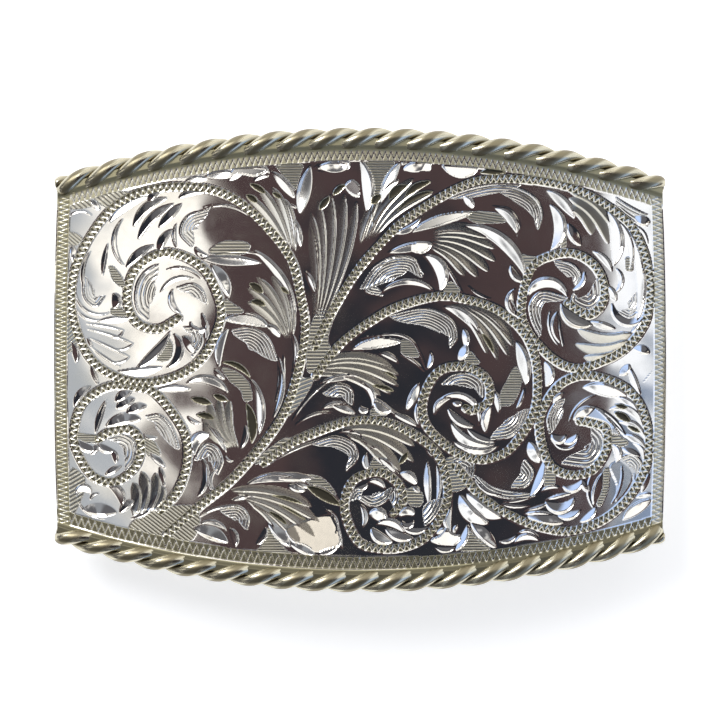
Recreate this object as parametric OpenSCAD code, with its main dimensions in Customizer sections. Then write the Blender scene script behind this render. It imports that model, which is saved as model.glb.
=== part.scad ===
// Bowed belt buckle plate with a twisted wire soldered along each long edge,
// and the belt loop and the hook on its back.
// X runs along the belt, Y up the buckle and Z out of its face.
// It lies face up as it rests by itself: Z = 0 is the surface under the loop and the hook.

/* [Plate] */
// Width of the plate along the belt
plate_w = 83; // [78:0.5:90]
// Height at the middle, over both wire edges
mid_h = 62.6; // [58:0.2:68]
// Radius of the long edges, seen from the front
edge_r = 136; // [125:1:180]
// Radius of the two ends, seen from the front
end_r = 520; // [300:10:900]
// Thickness of the sheet
sheet_t = 1.8; // [1.4:0.1:2.4]
// Radius to which the face is bowed along the belt
bow_r = 180; // [150:5:260]

/* [Wire edges] */
// Diameter over the two twisted strands
rope_d = 3.0; // [2.6:0.1:3.4]
// Lobes seen along one edge
lobe_n = 19; // [15:1:22]
// How far the wire stands above the face
rope_rise = 1.0; // [0.6:0.1:1.3]
// Depth of the valley between the strands, as a share of the radius
valley = 0.5; // [0.3:0.05:0.6]

/* [Belt loop] */
// Width of the belt that the loop takes
belt_w = 38; // [32:1:40]
// Diameter of the loop's wire
loop_d = 3.0; // [2.5:0.1:3.5]
// Distance of the loop from the middle of the plate
loop_x = 24; // [20:1:28]
// Inside radius of the loop's two bends
loop_bend = 1.5; // [1:0.25:3]

/* [Hook] */
// Diameter of the hook
hook_d = 4.0; // [3:0.25:4.5]
// Straight length of the hook, from its collar to its round tip
hook_l = 5.2; // [4.6:0.1:5.4]
// Distance of the hook's tip from the middle of the plate
hook_x = 33; // [29:1:35]
// Lean of the hook, away from the middle
hook_lean = 27; // [20:1:30]
// Diameter of the collar at its root
collar_d = 6.0; // [5:0.25:6.5]

/* [Hidden] */

// Height of the sheet's back over the resting surface, at the middle
back_z = 11.2;
// Clearance between the fittings and the back of the sheet
seat_gap = 0.05;
bow_axis_z = back_z + sheet_t - bow_r;
back_r = bow_r - sheet_t;
big_fn = 360;
tube_fn = 48;

// The wire's centre line lies on an arc in plan and on a cylinder across it
wire_plan_r = edge_r - rope_d / 2;
wire_arc_y = mid_h / 2 - edge_r;
wire_bow_r = bow_r + rope_rise - rope_d / 2;
wire_half = plate_w / 2 - 0.4;
wire_turn = asin(wire_half / wire_plan_r);
lobe_rings = 6;
ring_n = lobe_n * lobe_rings;
ring_sides = 16;
// The ends of the wire are rounded over this length, down to this share of its section
wire_end_l = 1.2;
wire_end_share = 0.6;

// The loop's inside is a little wider than the belt
loop_leg_y = belt_w / 2 + 1 + loop_d / 2;
loop_bend_r = loop_bend + loop_d / 2;
loop_bend_y = loop_leg_y - loop_bend_r;
loop_bend_z = loop_d / 2 + loop_bend_r;
foot_d = 2 * loop_d;
foot_z = bow_z(back_r, loop_x) - 1.2;
hook_tip_x = hook_x - hook_d / 2;

function unit(v) = v / norm(v);

// Height of a cylinder of radius r about the bow's axis, at x along the belt
function bow_z(r, x) = bow_axis_z + sqrt(r * r - x * x);

// Centre line of the wire at a plan angle, with its direction and its outward normal
function wire_point(a) = let (x = wire_plan_r * sin(a))
    [x, wire_arc_y + wire_plan_r * cos(a), bow_z(wire_bow_r, x)];
function wire_normal(a) = let (x = wire_plan_r * sin(a))
    [x, 0, sqrt(wire_bow_r * wire_bow_r - x * x)] / wire_bow_r;
function wire_along(a) = let (n = wire_normal(a))
    unit([cos(a), -sin(a), -cos(a) * n.x / n.z]);

// Radius of two touching strands at an angle from the line through both
function strand_r(a) = rope_d / 2 * max(valley, abs(cos(a)));

// Share of the full section at a distance from the wire's end
function end_share(d) = d >= wire_end_l ? 1
    : wire_end_share + (1 - wire_end_share) * sqrt(1 - pow(1 - d / wire_end_l, 2));

// One ring of the twisted pair: the pair turns by half a turn for each lobe
function wire_ring(i) =
    let (a = wire_turn * (2 * i / ring_n - 1),
         c = wire_point(a),
         n = wire_normal(a),
         t = wire_along(a),
         b = cross(n, t),
         twist = -180 * i / lobe_rings,
         from_end = wire_plan_r * (wire_turn - abs(a)) * PI / 180,
         share = end_share(from_end))
    [for (k = [0 : ring_sides - 1]) let (s = k * 360 / ring_sides, r = share * strand_r(s))
        c + r * (cos(s + twist) * b + sin(s + twist) * n)];

module twisted_wire() {
    points = [for (i = [0 : ring_n]) each wire_ring(i)];
    sides = [for (i = [0 : ring_n - 1], k = [0 : ring_sides - 1])
        let (p = i * ring_sides + k, q = i * ring_sides + (k + 1) % ring_sides)
        each [[p, q + ring_sides, q], [p, p + ring_sides, q + ring_sides]]];
    first_end = [for (k = [0 : ring_sides - 1]) k];
    last_end = [for (k = [0 : ring_sides - 1]) ring_n * ring_sides + ring_sides - 1 - k];
    polyhedron(points, concat([first_end], sides, [last_end]));
}

// Outline of the sheet from the front: two long arcs and two nearly straight ends
module sheet_outline(height) {
    intersection_for (side = [1, -1])
        intersection() {
            translate([0, side * (mid_h / 2 - edge_r), 0])
                cylinder(h = height, r = wire_plan_r, $fn = big_fn);
            translate([side * (plate_w / 2 - end_r), 0, 0])
                cylinder(h = height, r = end_r, $fn = big_fn);
        }
}

module bow_cylinder(r) {
    translate([0, 0, bow_axis_z])
        rotate([90, 0, 0])
            cylinder(h = 2 * mid_h, r = r, center = true, $fn = big_fn);
}

module plate() {
    color("silver") {
        intersection() {
            sheet_outline(2 * back_z);
            difference() {
                bow_cylinder(bow_r);
                bow_cylinder(back_r);
            }
        }
        twisted_wire();
        rotate([0, 0, 180]) twisted_wire();
    }
}

// What lies under the back of the sheet, less the clearance
module under_back() {
    intersection() {
        children();
        bow_cylinder(back_r - seat_gap);
    }
}

// A wire staple: a bar along Y, two bends, two legs and a round foot on each leg
module belt_loop() {
    color("gainsboro")
        under_back()
            translate([loop_x, 0, 0]) {
                translate([0, 0, loop_d / 2])
                    rotate([90, 0, 0])
                        cylinder(h = 2 * loop_bend_y, d = loop_d, center = true, $fn = tube_fn);
                for (side = [1, -1])
                    mirror([0, side > 0 ? 0 : 1, 0]) {
                        translate([0, loop_bend_y, loop_bend_z])
                            rotate([0, 90, 0])
                                rotate_extrude(angle = 90, $fn = tube_fn)
                                    translate([loop_bend_r, 0])
                                        circle(d = loop_d, $fn = tube_fn);
                        translate([0, loop_leg_y, loop_bend_z])
                            cylinder(h = back_z, d = loop_d, $fn = tube_fn);
                        translate([0, loop_leg_y, foot_z])
                            cylinder(h = back_z, d = foot_d, $fn = tube_fn);
                    }
            }
}

// A round pin that leans away from the loop, with a round tip and a collar at its root
module hook() {
    color("gainsboro")
        under_back()
            translate([-hook_tip_x, 0, hook_d / 2])
                rotate([0, hook_lean, 0]) {
                    sphere(d = hook_d, $fn = tube_fn);
                    cylinder(h = hook_l, d = hook_d, $fn = tube_fn);
                    translate([0, 0, hook_l])
                        cylinder(h = back_z, d = collar_d, $fn = tube_fn);
                }
}

plate();
belt_loop();
hook();
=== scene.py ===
import bmesh
import bpy
import numpy as np
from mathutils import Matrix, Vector


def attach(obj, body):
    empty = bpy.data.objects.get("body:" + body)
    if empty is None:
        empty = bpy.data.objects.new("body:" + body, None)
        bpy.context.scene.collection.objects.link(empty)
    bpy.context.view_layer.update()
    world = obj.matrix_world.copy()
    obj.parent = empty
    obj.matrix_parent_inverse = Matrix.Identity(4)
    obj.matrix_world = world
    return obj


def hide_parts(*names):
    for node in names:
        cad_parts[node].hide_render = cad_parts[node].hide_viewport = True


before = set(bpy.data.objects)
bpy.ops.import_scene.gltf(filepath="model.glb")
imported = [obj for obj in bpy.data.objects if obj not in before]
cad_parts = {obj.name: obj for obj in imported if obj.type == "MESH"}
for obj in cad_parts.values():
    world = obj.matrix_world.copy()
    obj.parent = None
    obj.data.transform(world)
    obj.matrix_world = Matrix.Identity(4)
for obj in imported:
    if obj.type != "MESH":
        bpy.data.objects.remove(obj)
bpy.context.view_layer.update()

# Engraved plate
# The real piece is one sheet of silver bowed along the belt, cut by hand with a graver
# and then burnished bright, so that each cut is a small mirror that leans its own way.
# Sizes are in millimetres, X along the belt and Y up the buckle, from the plate's middle.
MM = 0.001

# Outline and bow: radii of the long edges and of the ends in plan, thickness of the wire
# and the sheet, radius and crown of the bow, then the arc that the wire follows in plan
half_w = 41.5
half_h = 31.3
edge_r = 136.0
end_r = 520.0
wire_d = 3.0
sheet_t = 1.8
bow_r = 180.0
face_top = 13.0
bow_axis = face_top - bow_r
plan_r = edge_r - wire_d / 2
arc_y = half_h - edge_r

# Columns and rows of the grid, and the slices of it from left to right
columns = 744
rows = 500
SLICES = ("face_left", "face_mid_left", "face_mid_right", "face_right")

# Space between shading lines as a share of the pitch in their table, a finger's width as
# a share of the space it has, the widest finger, a slot's depth, and the back's tarnish
shade_open = 1.2
finger_open = 1.12
finger_widest = 1.9
slot_deep = 0.16
back_dull = 0.2

# Faint waves of the rolled sheet, one set along X and one along Y: height, turn in radians
# a millimetre, how far the crests wander, and the turn of that
WAVES = ((0.011, 0.7, 1.3, 0.4), (0.009, 0.8, 1.1, 0.5))


def bowed(radius, x):
    """Height of the bow at x: a circle of that radius about the bow's axis."""
    return bow_axis + np.sqrt(radius**2 - x**2)


def sheet_grid():
    """Grid over the sheet: y is a share of the long arc's height at x, and x a share of
    the end arc's reach at y, so the two are worked out in turn until they agree."""
    across = np.linspace(-1, 1, columns + 1)[:, None] * np.ones(rows + 1)
    up = np.linspace(-1, 1, rows + 1) * np.ones((columns + 1, 1))
    x = across * half_w
    for _ in range(4):
        y = up * (arc_y + np.sqrt(plan_r**2 - x**2))
        x = across * (half_w - end_r + np.sqrt(end_r**2 - y**2))
    return x, y


def circle_through(a, b, c, straight=0.02):
    """Centre of the circle that three points are equally far from, or none if they
    lie on a line."""
    turn = (b[0] - a[0]) * (c[1] - a[1]) - (b[1] - a[1]) * (c[0] - a[0])
    if abs(turn) < straight:
        return None
    return np.linalg.solve(2 * np.array([b - a, c - a]), [b @ b - a @ a, c @ c - a @ a])


def arc(start, through, end, step=0.1):
    """Arc of the circle through three points, from the first by way of the second."""
    a, b, c = (np.asarray(p, float) for p in (start, through, end))
    centre = circle_through(a, b, c)
    if centre is None:
        count = max(4, int(np.hypot(*(c - a)) / step))
        return a + (c - a) * np.linspace(0, 1, count)[:, None]
    radius = np.hypot(*(a - centre))
    first = np.arctan2(*(a - centre)[::-1])
    last = np.arctan2(*(c - centre)[::-1])
    way = np.sign((b[0] - a[0]) * (c[1] - a[1]) - (b[1] - a[1]) * (c[0] - a[0]))
    sweep = (way * (last - first)) % (2 * np.pi) * way
    run = first + sweep * np.linspace(0, 1, max(6, int(abs(sweep) * radius / step)))
    return centre + radius * np.stack([np.cos(run), np.sin(run)], 1)


def curve(points, step=0.1):
    """Smooth line through the points: between two of them it is a cubic whose slope at
    each is half the step between that point's neighbours."""
    p = np.asarray(points, float)
    if len(p) == 3:
        return arc(*p, step=step)
    p = np.vstack([2 * p[0] - p[1], p, 2 * p[-1] - p[-2]])
    out = []
    for a, b, c, d in zip(p[:-3], p[1:-2], p[2:-1], p[3:]):
        count = max(3, int(np.hypot(*(c - b)) / step))
        t = np.linspace(0, 1, count, endpoint=False)[:, None]
        bend = 2 * a - 5 * b + 4 * c - d + t * (3 * (b - c) + d - a)
        out.append(b + 0.5 * t * (c - a + t * bend))
    return np.vstack(out + [p[-2:-1]])


def follow(line, x, y, reach, chunk=30):
    """For every point within reach of a line: its index, the length along the line to
    the nearest place on it, and how far it lies to the line's left."""
    length = np.concatenate([[0], np.cumsum(np.hypot(*np.diff(line, axis=0).T))])
    best = np.full(x.shape, reach)
    along = np.zeros(x.shape)
    side = np.zeros(x.shape)
    for k in range(0, len(line) - 1, chunk):
        part = line[k : k + chunk + 1]
        low, high = part.min(0) - reach, part.max(0) + reach
        near = np.nonzero((x > low[0]) & (x < high[0]) & (y > low[1]) & (y < high[1]))[0]
        if not len(near):
            continue
        px, py = x[near][:, None], y[near][:, None]
        step = np.diff(part, axis=0)
        size = np.maximum((step**2).sum(1), 1e-9)
        t = ((px - part[:-1, 0]) * step[:, 0] + (py - part[:-1, 1]) * step[:, 1]) / size
        t = np.clip(t, 0, 1)
        ox = px - part[:-1, 0] - t * step[:, 0]
        oy = py - part[:-1, 1] - t * step[:, 1]
        far = np.hypot(ox, oy)
        j = far.argmin(1)
        row = np.arange(len(near))
        closer = far[row, j] < best[near]
        at, jj, rr = near[closer], j[closer], row[closer]
        best[at] = far[rr, jj]
        along[at] = length[k + jj] + t[rr, jj] * np.sqrt(size[jj])
        turn = step[jj, 0] * oy[rr, jj] - step[jj, 1] * ox[rr, jj]
        side[at] = np.sign(turn) * far[rr, jj]
    hit = np.nonzero(best < reach)[0]
    return hit, along[hit], side[hit], length[-1]


class Engraving:
    """Depth below the uncut face at every point of the grid, with the share of ruled
    lines, the count that those lines follow, and the share of tarnish."""

    def __init__(self, x, y):
        self.shape = x.shape
        self.x = x.ravel()
        self.y = y.ravel()
        self.depth = np.zeros(self.x.shape)
        for s, t, (height, turn, wander, slow) in zip((self.x, self.y), (self.y, self.x), WAVES):
            self.depth += height * np.sin(s * turn + wander * np.sin(t * slow))
        self.ruled = np.zeros(self.x.shape)
        self.count = np.zeros(self.x.shape)
        self.tarnish = np.zeros(self.x.shape)

    def within(self, low, high):
        """Points inside the box between two corners."""
        x, y = self.x, self.y
        return np.nonzero((x > low[0]) & (x < high[0]) & (y > low[1]) & (y < high[1]))[0]

    def between(self, row, bulge=1.5):
        """Points between two arcs that share their ends, the share of the way along and
        the distances from the two arcs. An arc reaches past its points by no more than
        the bulge."""
        start, deep, shallow, end = np.asarray(row, float).reshape(4, 2)
        places = [start, deep, shallow, end]
        at = self.within(np.min(places, 0) - bulge, np.max(places, 0) + bulge)
        chord = end - start
        along = (self.x[at] - start[0]) * chord[0] + (self.y[at] - start[1]) * chord[1]
        along = along / (chord @ chord)
        inside = (along > 0) & (along < 1)
        middle = (deep + shallow) / 2
        gaps = []
        for through in (deep, shallow):
            centre = circle_through(start, through, end)
            if centre is None:
                n = np.array([start[1] - end[1], end[0] - start[0]])
                n = n / np.hypot(*n)
                far = (self.x[at] - start[0]) * n[0] + (self.y[at] - start[1]) * n[1]
                mid = (middle - start) @ n
            else:
                radius = np.hypot(*(start - centre))
                far = np.hypot(self.x[at] - centre[0], self.y[at] - centre[1]) - radius
                mid = np.hypot(*(middle - centre)) - radius
            inside &= far * mid > 0
            gaps.append(np.abs(far))
        return at[inside], along[inside], gaps[0][inside], gaps[1][inside]

    def bright_cut(self, row, slope=0.26, hollow=0.05, roll=0.05, wall=1.3, keeps=0.2):
        """Facet that falls from the shallow arc to the deep one, a little hollow, and
        steeper towards its end as the graver is rolled; a short wall rises from the
        deep arc. It keeps a small share of the tarnish that it cuts through."""
        at, along, from_deep, from_shallow = self.between(row)
        fall = from_shallow * (slope + roll * (2 * along - 1) + hollow * from_shallow)
        fall = np.minimum(fall, wall * from_deep)
        self.depth[at] = np.maximum(self.depth[at], fall)
        self.ruled[at] = 0
        self.tarnish[at] *= keeps

    def slot(self, row, wall=0.9):
        """Cut with a level floor that holds dark tarnish."""
        at, _, from_deep, from_shallow = self.between(row)
        fall = np.minimum(slot_deep, wall * np.minimum(from_deep, from_shallow))
        self.depth[at] = np.maximum(self.depth[at], fall)
        self.ruled[at] = 0
        self.tarnish[at] = 1

    def finger(self, points, wide_root, wide_tip, finish, slope, hollow=0.06, wall=1.2):
        """Finger cut: from a pointed root its width grows evenly along it and closes in
        a round end, and it is a hollow facet that falls to its right, less steeply
        towards the end, with a short wall there."""
        at, s, d, total = follow(curve(points), self.x, self.y, finger_widest)
        t = np.clip(s / total, 0, 1)
        half = (wide_root + (wide_tip - wide_root) * t) / 2 * np.clip(1 - t**5, 0, 1) ** 0.85
        half = half * np.clip(7 * t, 0.04, 1) ** 0.6
        on = np.abs(d) < half
        at, d, half, t = at[on], d[on], half[on], t[on]
        fall = (half - d) * (slope * (1.5 - t) + hollow * (half - d) / half)
        self.depth[at] = np.maximum(self.depth[at], np.minimum(fall, wall * (half + d)))
        self.ruled[at] = 0
        self.tarnish[at] = finish

    def fan(self, root_a, root_b, tip_a, tip_mid, tip_b, bend, count, finish, slope):
        """Finger cuts side by side, from roots on a line to tips on an arc, each bent to
        its left by the given share of its length and as wide as its place in the fan."""
        tips = arc(tip_a, tip_mid, tip_b)
        root_a, root_b = np.array(root_a), np.array(root_b)
        wide_root = finger_open * np.hypot(*(root_b - root_a)) / (count - 1)
        around = np.hypot(*np.diff(tips, axis=0).T).sum()
        wide_tip = min(finger_open * around / (count - 1), finger_widest)
        for f in np.linspace(0, 1, count):
            root = (1 - f) * root_a + f * root_b
            tip = tips[int(round(f * (len(tips) - 1)))]
            step = tip - root
            middle = root + step / 2 + bend * np.array([-step[1], step[0]])
            self.finger([root, middle, tip], wide_root, wide_tip, finish, slope)

    def fine_line(self, points, width=0.3, slope=0.55):
        """Thin cut with a V section, widest in its middle, from where it narrows as a sine
        to a third of that at both ends."""
        at, s, d, total = follow(curve(points), self.x, self.y, width)
        half = width / 2 * (0.35 + 0.65 * np.sin(np.pi * np.clip(s / total, 0, 1)))
        self.depth[at] += slope * np.clip(half - np.abs(d), 0, None)

    def shading(self, points, width, pitch, dull=0.06, line=0.28):
        """Fine lines side by side with the given one, on its left for a positive width;
        the set is a crescent, the lines fade away from the outer one, and that one is cut
        into the metal."""
        at, s, d, total = follow(curve(points), self.x, self.y, abs(width) + 0.1)
        t = np.clip(s / total, 0, 1)
        d = d * np.sign(width)
        reach = abs(width) * (4 * t * (1 - t)) ** 0.7
        on = (d > 0) & (d < reach)
        at, d, reach = at[on], d[on], reach[on]
        self.ruled[at] = 1 - 0.7 * (d / reach) ** 2
        self.count[at] = d / (shade_open * pitch)
        self.tarnish[at] = dull
        self.fine_line(points, line)

    def inside(self, corners, cut=0.2):
        """Points inside a polygon with its corners cut round: a ray from each crosses the
        sides an odd number of times."""
        c = np.asarray(corners, float).reshape(-1, 2)
        for _ in range(2):
            on = np.roll(c, -1, 0)
            near, far = (1 - cut) * c + cut * on, cut * c + (1 - cut) * on
            c = np.stack([near, far], 1).reshape(-1, 2)
        at = self.within(c.min(0), c.max(0))
        x, y = self.x[at], self.y[at]
        odd = np.zeros(len(at), bool)
        for (xa, ya), (xb, yb) in zip(c, np.roll(c, -1, 0)):
            if ya != yb:
                odd ^= ((ya > y) != (yb > y)) & (x < xa + (y - ya) * (xb - xa) / (yb - ya))
        return at[odd]

    def leaf_plane(self, corners, lean_x, lean_y, least=0.01, most=0.45, dull=0.02):
        """Broad flat cut that falls from its first corner by one slope along X and one
        along Y."""
        at = self.inside(corners)
        fall = lean_x * (self.x[at] - corners[0]) + lean_y * (self.y[at] - corners[1])
        self.depth[at] = np.clip(fall, least, most)
        self.ruled[at] = 0
        self.tarnish[at] = dull

    def ground(self, corners, pitch, lean, drop=0.02, dull=0.24):
        """Ground between the leaves, set a little lower and ruled with lines that lean
        by an angle from level."""
        at = self.inside(corners)
        turn = np.radians(lean)
        self.ruled[at] = 1
        self.count[at] = (self.y[at] * np.cos(turn) - self.x[at] * np.sin(turn)) / pitch
        self.depth[at] += drop
        self.tarnish[at] = dull

    def zigzag(self, at, s, d, half, pitch, wide=0.17, slope=0.50, gap=1.0, loop=0.16):
        """Wriggle cut: a groove walked from side to side along a line, as a triangle
        wave, in a shallow channel with a line cut along either side. The gaps between the
        loops hold more tarnish than the loops."""
        channel, swing, slant = 0.03, 0.8, 0.45
        rail_slope, rail_half, rail_out, rail_clear = 0.45, 0.12, 0.04, 0.1
        wave = np.abs((s / pitch) % 1 * 2 - 1) * 2 - 1
        groove = slope * np.clip(wide - np.abs(d - wave * half * swing) * slant, 0, None)
        band = np.abs(d) < half
        rail = rail_slope * np.clip(rail_half - np.abs(np.abs(d) - half - rail_out), 0, None)
        clear = np.abs(d) > half + rail_clear
        beside = np.where(clear, self.depth[at], rail)
        self.depth[at] = np.where(band, channel + groove, beside)
        self.ruled[at] *= clear
        self.tarnish[at] = np.where(band, np.where(groove > 0.01, loop, gap), self.tarnish[at])

    def stem(self, points, half=0.5, pitch=0.82, margin=0.2):
        """Wriggle cut along a scroll's stem."""
        at, s, d, _ = follow(curve(points), self.x, self.y, half + margin)
        self.zigzag(at, s, d, half, pitch)

    def border(self, edge, s, middle, half, pitch, gap, loop, margin=0.2):
        """Finer wriggle cut at a steady distance from an edge of the plate."""
        d = edge - middle
        at = np.nonzero(np.abs(d) < half + margin)[0]
        self.zigzag(at, s[at], d[at], half, pitch, wide=0.15, slope=0.4, gap=gap, loop=loop)


# Stems of the six scrolls, from root to eye
STEM_LEFT = [
    (-26.2, -23.6), (-21.6, -19.6), (-17.6, -16.4), (-13.8, -12.2), (-10.5, -7.6), (-8.6, -2.6),
    (-7.4, 3.6), (-8.0, 8.6), (-9.5, 14.0), (-13.8, 19.2), (-17.7, 22.1), (-22.0, 23.3),
    (-28.0, 23.1), (-33.0, 20.9), (-36.6, 16.6), (-38.8, 11.5), (-38.9, 6.0), (-36.6, 0.4),
    (-32.6, -2.4), (-27.3, -2.9), (-21.9, -0.4), (-18.9, 5.0), (-19.3, 9.1), (-21.6, 12.8),
    (-26.2, 14.5), (-30.3, 12.3), (-31.5, 8.3), (-30.2, 5.1), (-27.3, 4.2), (-24.5, 5.6),
]
STEM_LOWER_LEFT = [
    (-26.9, -20.3), (-24.5, -17.5), (-23.3, -13.5), (-23.8, -9.5), (-27.4, -4.7), (-30.5, -3.6),
    (-34.1, -3.6), (-37.6, -6.0), (-38.8, -10.1), (-38.0, -13.1), (-36.0, -15.8), (-32.9, -16.4),
    (-30.2, -14.2), (-29.6, -11.3), (-31.1, -9.4), (-33.8, -9.7), (-35.4, -10.7),
]
STEM_RIGHT = [
    (-6.1, 1.8), (-4.1, 5.9), (-0.8, 11.4), (2.9, 15.8), (6.2, 18.9), (12.7, 22.9), (17.1, 24.3),
    (23.9, 24.2), (29.5, 22.9), (34.9, 19.8), (37.6, 16.8), (39.3, 11.0), (38.8, 5.5), (36.2, 1.8),
    (32.7, -0.2), (29.2, -1.1), (25.9, 0.3), (22.5, 4.0), (21.8, 7.4), (23.1, 12.3), (25.6, 14.0),
    (28.8, 14.4), (31.6, 12.9), (33.0, 10.2), (32.7, 7.5), (30.8, 6.1), (28.1, 7.6),
]
STEM_MIDDLE = [
    (-6.0, -2.1), (-2.7, 2.1), (1.4, 5.2), (5.1, 7.2), (10.5, 8.6), (14.6, 8.1), (18.9, 6.5),
    (22.5, 3.1), (23.9, -1.5), (23.5, -7.0), (20.6, -11.6), (18.1, -13.1), (15.5, -13.3),
    (12.5, -12.2), (9.2, -9.2), (8.4, -5.7), (10.5, -1.6), (14.3, -0.9), (17.1, -2.8),
    (17.3, -5.6), (15.2, -6.7), (14.2, -6.5),
]
STEM_BOTTOM = [
    (-13.0, -13.8), (-9.4, -11.3), (-4.6, -9.2), (-1.1, -8.2), (2.6, -8.2), (6.8, -9.8),
    (10.3, -12.5), (11.8, -17.0), (11.2, -20.6), (8.7, -23.9), (5.6, -25.2), (2.5, -25.3),
    (-0.3, -24.3), (-2.1, -19.9), (-0.9, -16.2), (2.4, -15.1), (5.0, -16.5), (5.8, -18.8),
    (4.5, -20.6),
]
STEM_LOWER_RIGHT = [
    (12.8, -14.2), (16.5, -18.5), (20.9, -21.2), (25.1, -22.7), (29.2, -23.0), (33.7, -21.1),
    (37.1, -17.6), (39.1, -13.0), (38.6, -7.6), (36.1, -3.9), (31.2, -2.1), (27.6, -2.9),
    (25.2, -5.6), (24.2, -9.0), (25.4, -13.7), (28.0, -15.4), (31.2, -15.0), (33.3, -12.2),
    (33.2, -9.3), (31.0, -8.4), (29.7, -8.2),
]

# Bright cuts, scroll by scroll: first tip, middle of the deep edge, middle of the shallow
# edge, other tip, each as x and y
CUTS_UPPER_LEFT = [
    (-34.0, 18.4, -32.3, 20.9, -31.5, 20.2, -28.5, 22.1),
    (-31.9, 19.2, -33.5, 15.3, -32.9, 15.8, -31.7, 12.6),
    (-27.0, 14.3, -26.2, 15.9, -27.2, 16.3, -25.1, 17.7),
    (-31.7, 12.4, -29.5, 13.9, -30.3, 14.7, -27.8, 15.5),
    (-30.7, 17.9, -28.9, 19.7, -29.9, 20.3, -25.9, 21.9),
    (-30.0, 16.2, -27.8, 18.6, -28.9, 19.2, -25.0, 21.1),
    (-27.3, 17.8, -25.5, 18.9, -26.4, 19.7, -24.0, 21.1),
    (-24.6, 18.6, -25.3, 16.6, -24.7, 16.7, -24.6, 15.0),
    (-34.1, 16.1, -34.3, 13.8, -34.9, 13.8, -34.8, 11.4),
    (-36.4, 14.8, -37.3, 12.2, -37.8, 11.8, -37.1, 9.2),
    (-36.5, 21.9, -36.2, 20.9, -35.4, 21.2, -35.2, 20.3),
    (-39.0, 15.6, -39.3, 14.3, -38.4, 14.3, -38.9, 13.1),
    (-28.4, 21.2, -27.6, 21.9, -28.1, 22.8, -26.9, 22.7),
    (-24.5, 21.8, -22.4, 22.3, -23.6, 22.9, -20.6, 22.6),
    (-27.4, 12.9, -29.7, 11.3, -29.3, 11.1, -30.4, 8.5),
    (-27.0, 8.9, -25.5, 10.9, -25.2, 10.4, -22.3, 10.8),
    (-25.1, 9.7, -25.8, 7.9, -25.0, 8.1, -24.0, 6.2),
    (-25.6, 4.0, -27.0, 0.7, -28.1, 1.4, -30.2, -1.1),
    (-25.3, 3.6, -23.8, 1.4, -24.9, 1.2, -26.1, -1.0),
    (-33.0, -1.5, -29.4, -1.0, -29.6, -2.2, -26.6, -0.9),
    (-35.5, 5.2, -33.2, 5.9, -33.0, 5.0, -31.0, 5.6),
    (-37.0, 3.1, -36.4, 2.4, -36.9, 2.3, -36.2, 1.6),
    (-36.4, -0.4, -35.8, -1.6, -36.3, -2.0, -35.4, -3.3),
    (-33.5, 9.0, -32.3, 8.2, -33.6, 7.9, -33.4, 7.0),
    (-22.3, 15.3, -20.9, 14.3, -22.0, 14.2, -20.4, 14.0),
    (-21.4, 6.4, -20.7, 5.2, -21.2, 5.0, -20.7, 2.6),
    (-39.2, 2.6, -38.2, 1.6, -38.9, 0.9, -38.4, -0.4),
    (-22.9, 5.2, -21.7, 4.2, -22.4, 3.8, -20.4, 4.9),
    (-23.9, 3.2, -22.5, 2.4, -23.6, 1.9, -22.6, 0.9),
]
CUTS_TOP = [
    (-17.7, 24.1, -17.0, 25.0, -16.6, 24.4, -15.9, 25.0),
    (-14.4, 23.9, -13.3, 24.9, -13.3, 24.3, -12.2, 24.7),
    (-13.4, 26.0, -12.6, 25.7, -12.9, 25.4, -12.2, 25.0),
    (-12.2, 25.5, -9.9, 24.2, -10.8, 23.3, -8.8, 21.6),
    (-9.8, 21.0, -9.0, 20.9, -9.1, 20.5, -8.3, 20.3),
    (-9.6, 19.6, -8.0, 17.6, -9.3, 17.9, -8.1, 15.0),
    (-8.1, 19.5, -8.3, 23.2, -6.5, 23.2, -6.6, 26.2),
    (-6.4, 25.7, -5.6, 26.3, -5.8, 25.9, -5.2, 26.6),
    (-5.8, 25.9, -3.6, 26.8, -3.6, 25.2, -1.2, 26.0),
    (-21.5, 20.0, -17.5, 20.9, -17.6, 20.6, -13.0, 17.2),
    (-15.1, 15.2, -10.9, 12.3, -12.0, 11.9, -8.6, 6.0),
    (-21.5, 13.6, -17.3, 14.1, -17.0, 12.7, -13.2, 13.0),
    (-20.1, 12.9, -19.2, 10.6, -17.8, 11.2, -17.7, 8.4),
    (-12.6, 4.6, -11.2, 4.4, -11.8, 3.6, -10.9, 3.0),
    (-9.4, 4.0, -8.3, 1.6, -9.0, 1.6, -9.1, -1.8),
    (-17.6, 4.4, -19.5, 1.5, -18.4, 1.7, -19.0, -0.9),
    (-11.2, 1.0, -10.2, -3.3, -10.9, -3.3, -11.7, -7.8),
    (-7.4, 12.0, -6.3, 10.9, -6.9, 10.2, -6.0, 8.8),
    (-23.6, 24.1, -21.9, 24.8, -21.7, 23.9, -20.5, 24.4),
    (0.0, 27.0, 1.8, 24.4, 0.2, 23.4, 0.8, 19.8),
    (3.0, 20.8, 3.3, 24.6, 4.6, 23.6, 5.6, 26.7),
    (5.6, 26.1, 6.2, 27.0, 6.2, 26.3, 6.8, 26.6),
    (5.7, 25.6, 7.8, 26.9, 7.8, 25.3, 9.8, 26.4),
    (13.9, 22.0, 15.1, 21.6, 14.2, 21.2, 15.2, 20.4),
    (13.5, 18.0, 19.4, 16.9, 18.4, 15.5, 22.4, 10.8),
    (3.6, 14.3, 6.8, 15.8, 6.8, 14.6, 9.9, 15.7),
    (8.6, 14.1, 11.8, 12.0, 9.9, 12.3, 10.7, 9.2),
    (2.4, 8.5, 6.9, 10.9, 6.4, 10.1, 10.1, 9.1),
    (2.9, 21.2, 3.2, 23.0, 4.2, 22.6, 5.4, 24.2),
    (4.0, 17.2, 7.4, 18.6, 7.4, 17.6, 8.4, 19.4),
    (-21.0, 24.6, -18.6, 25.6, -18.8, 24.4, -16.2, 24.9),
]
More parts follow.
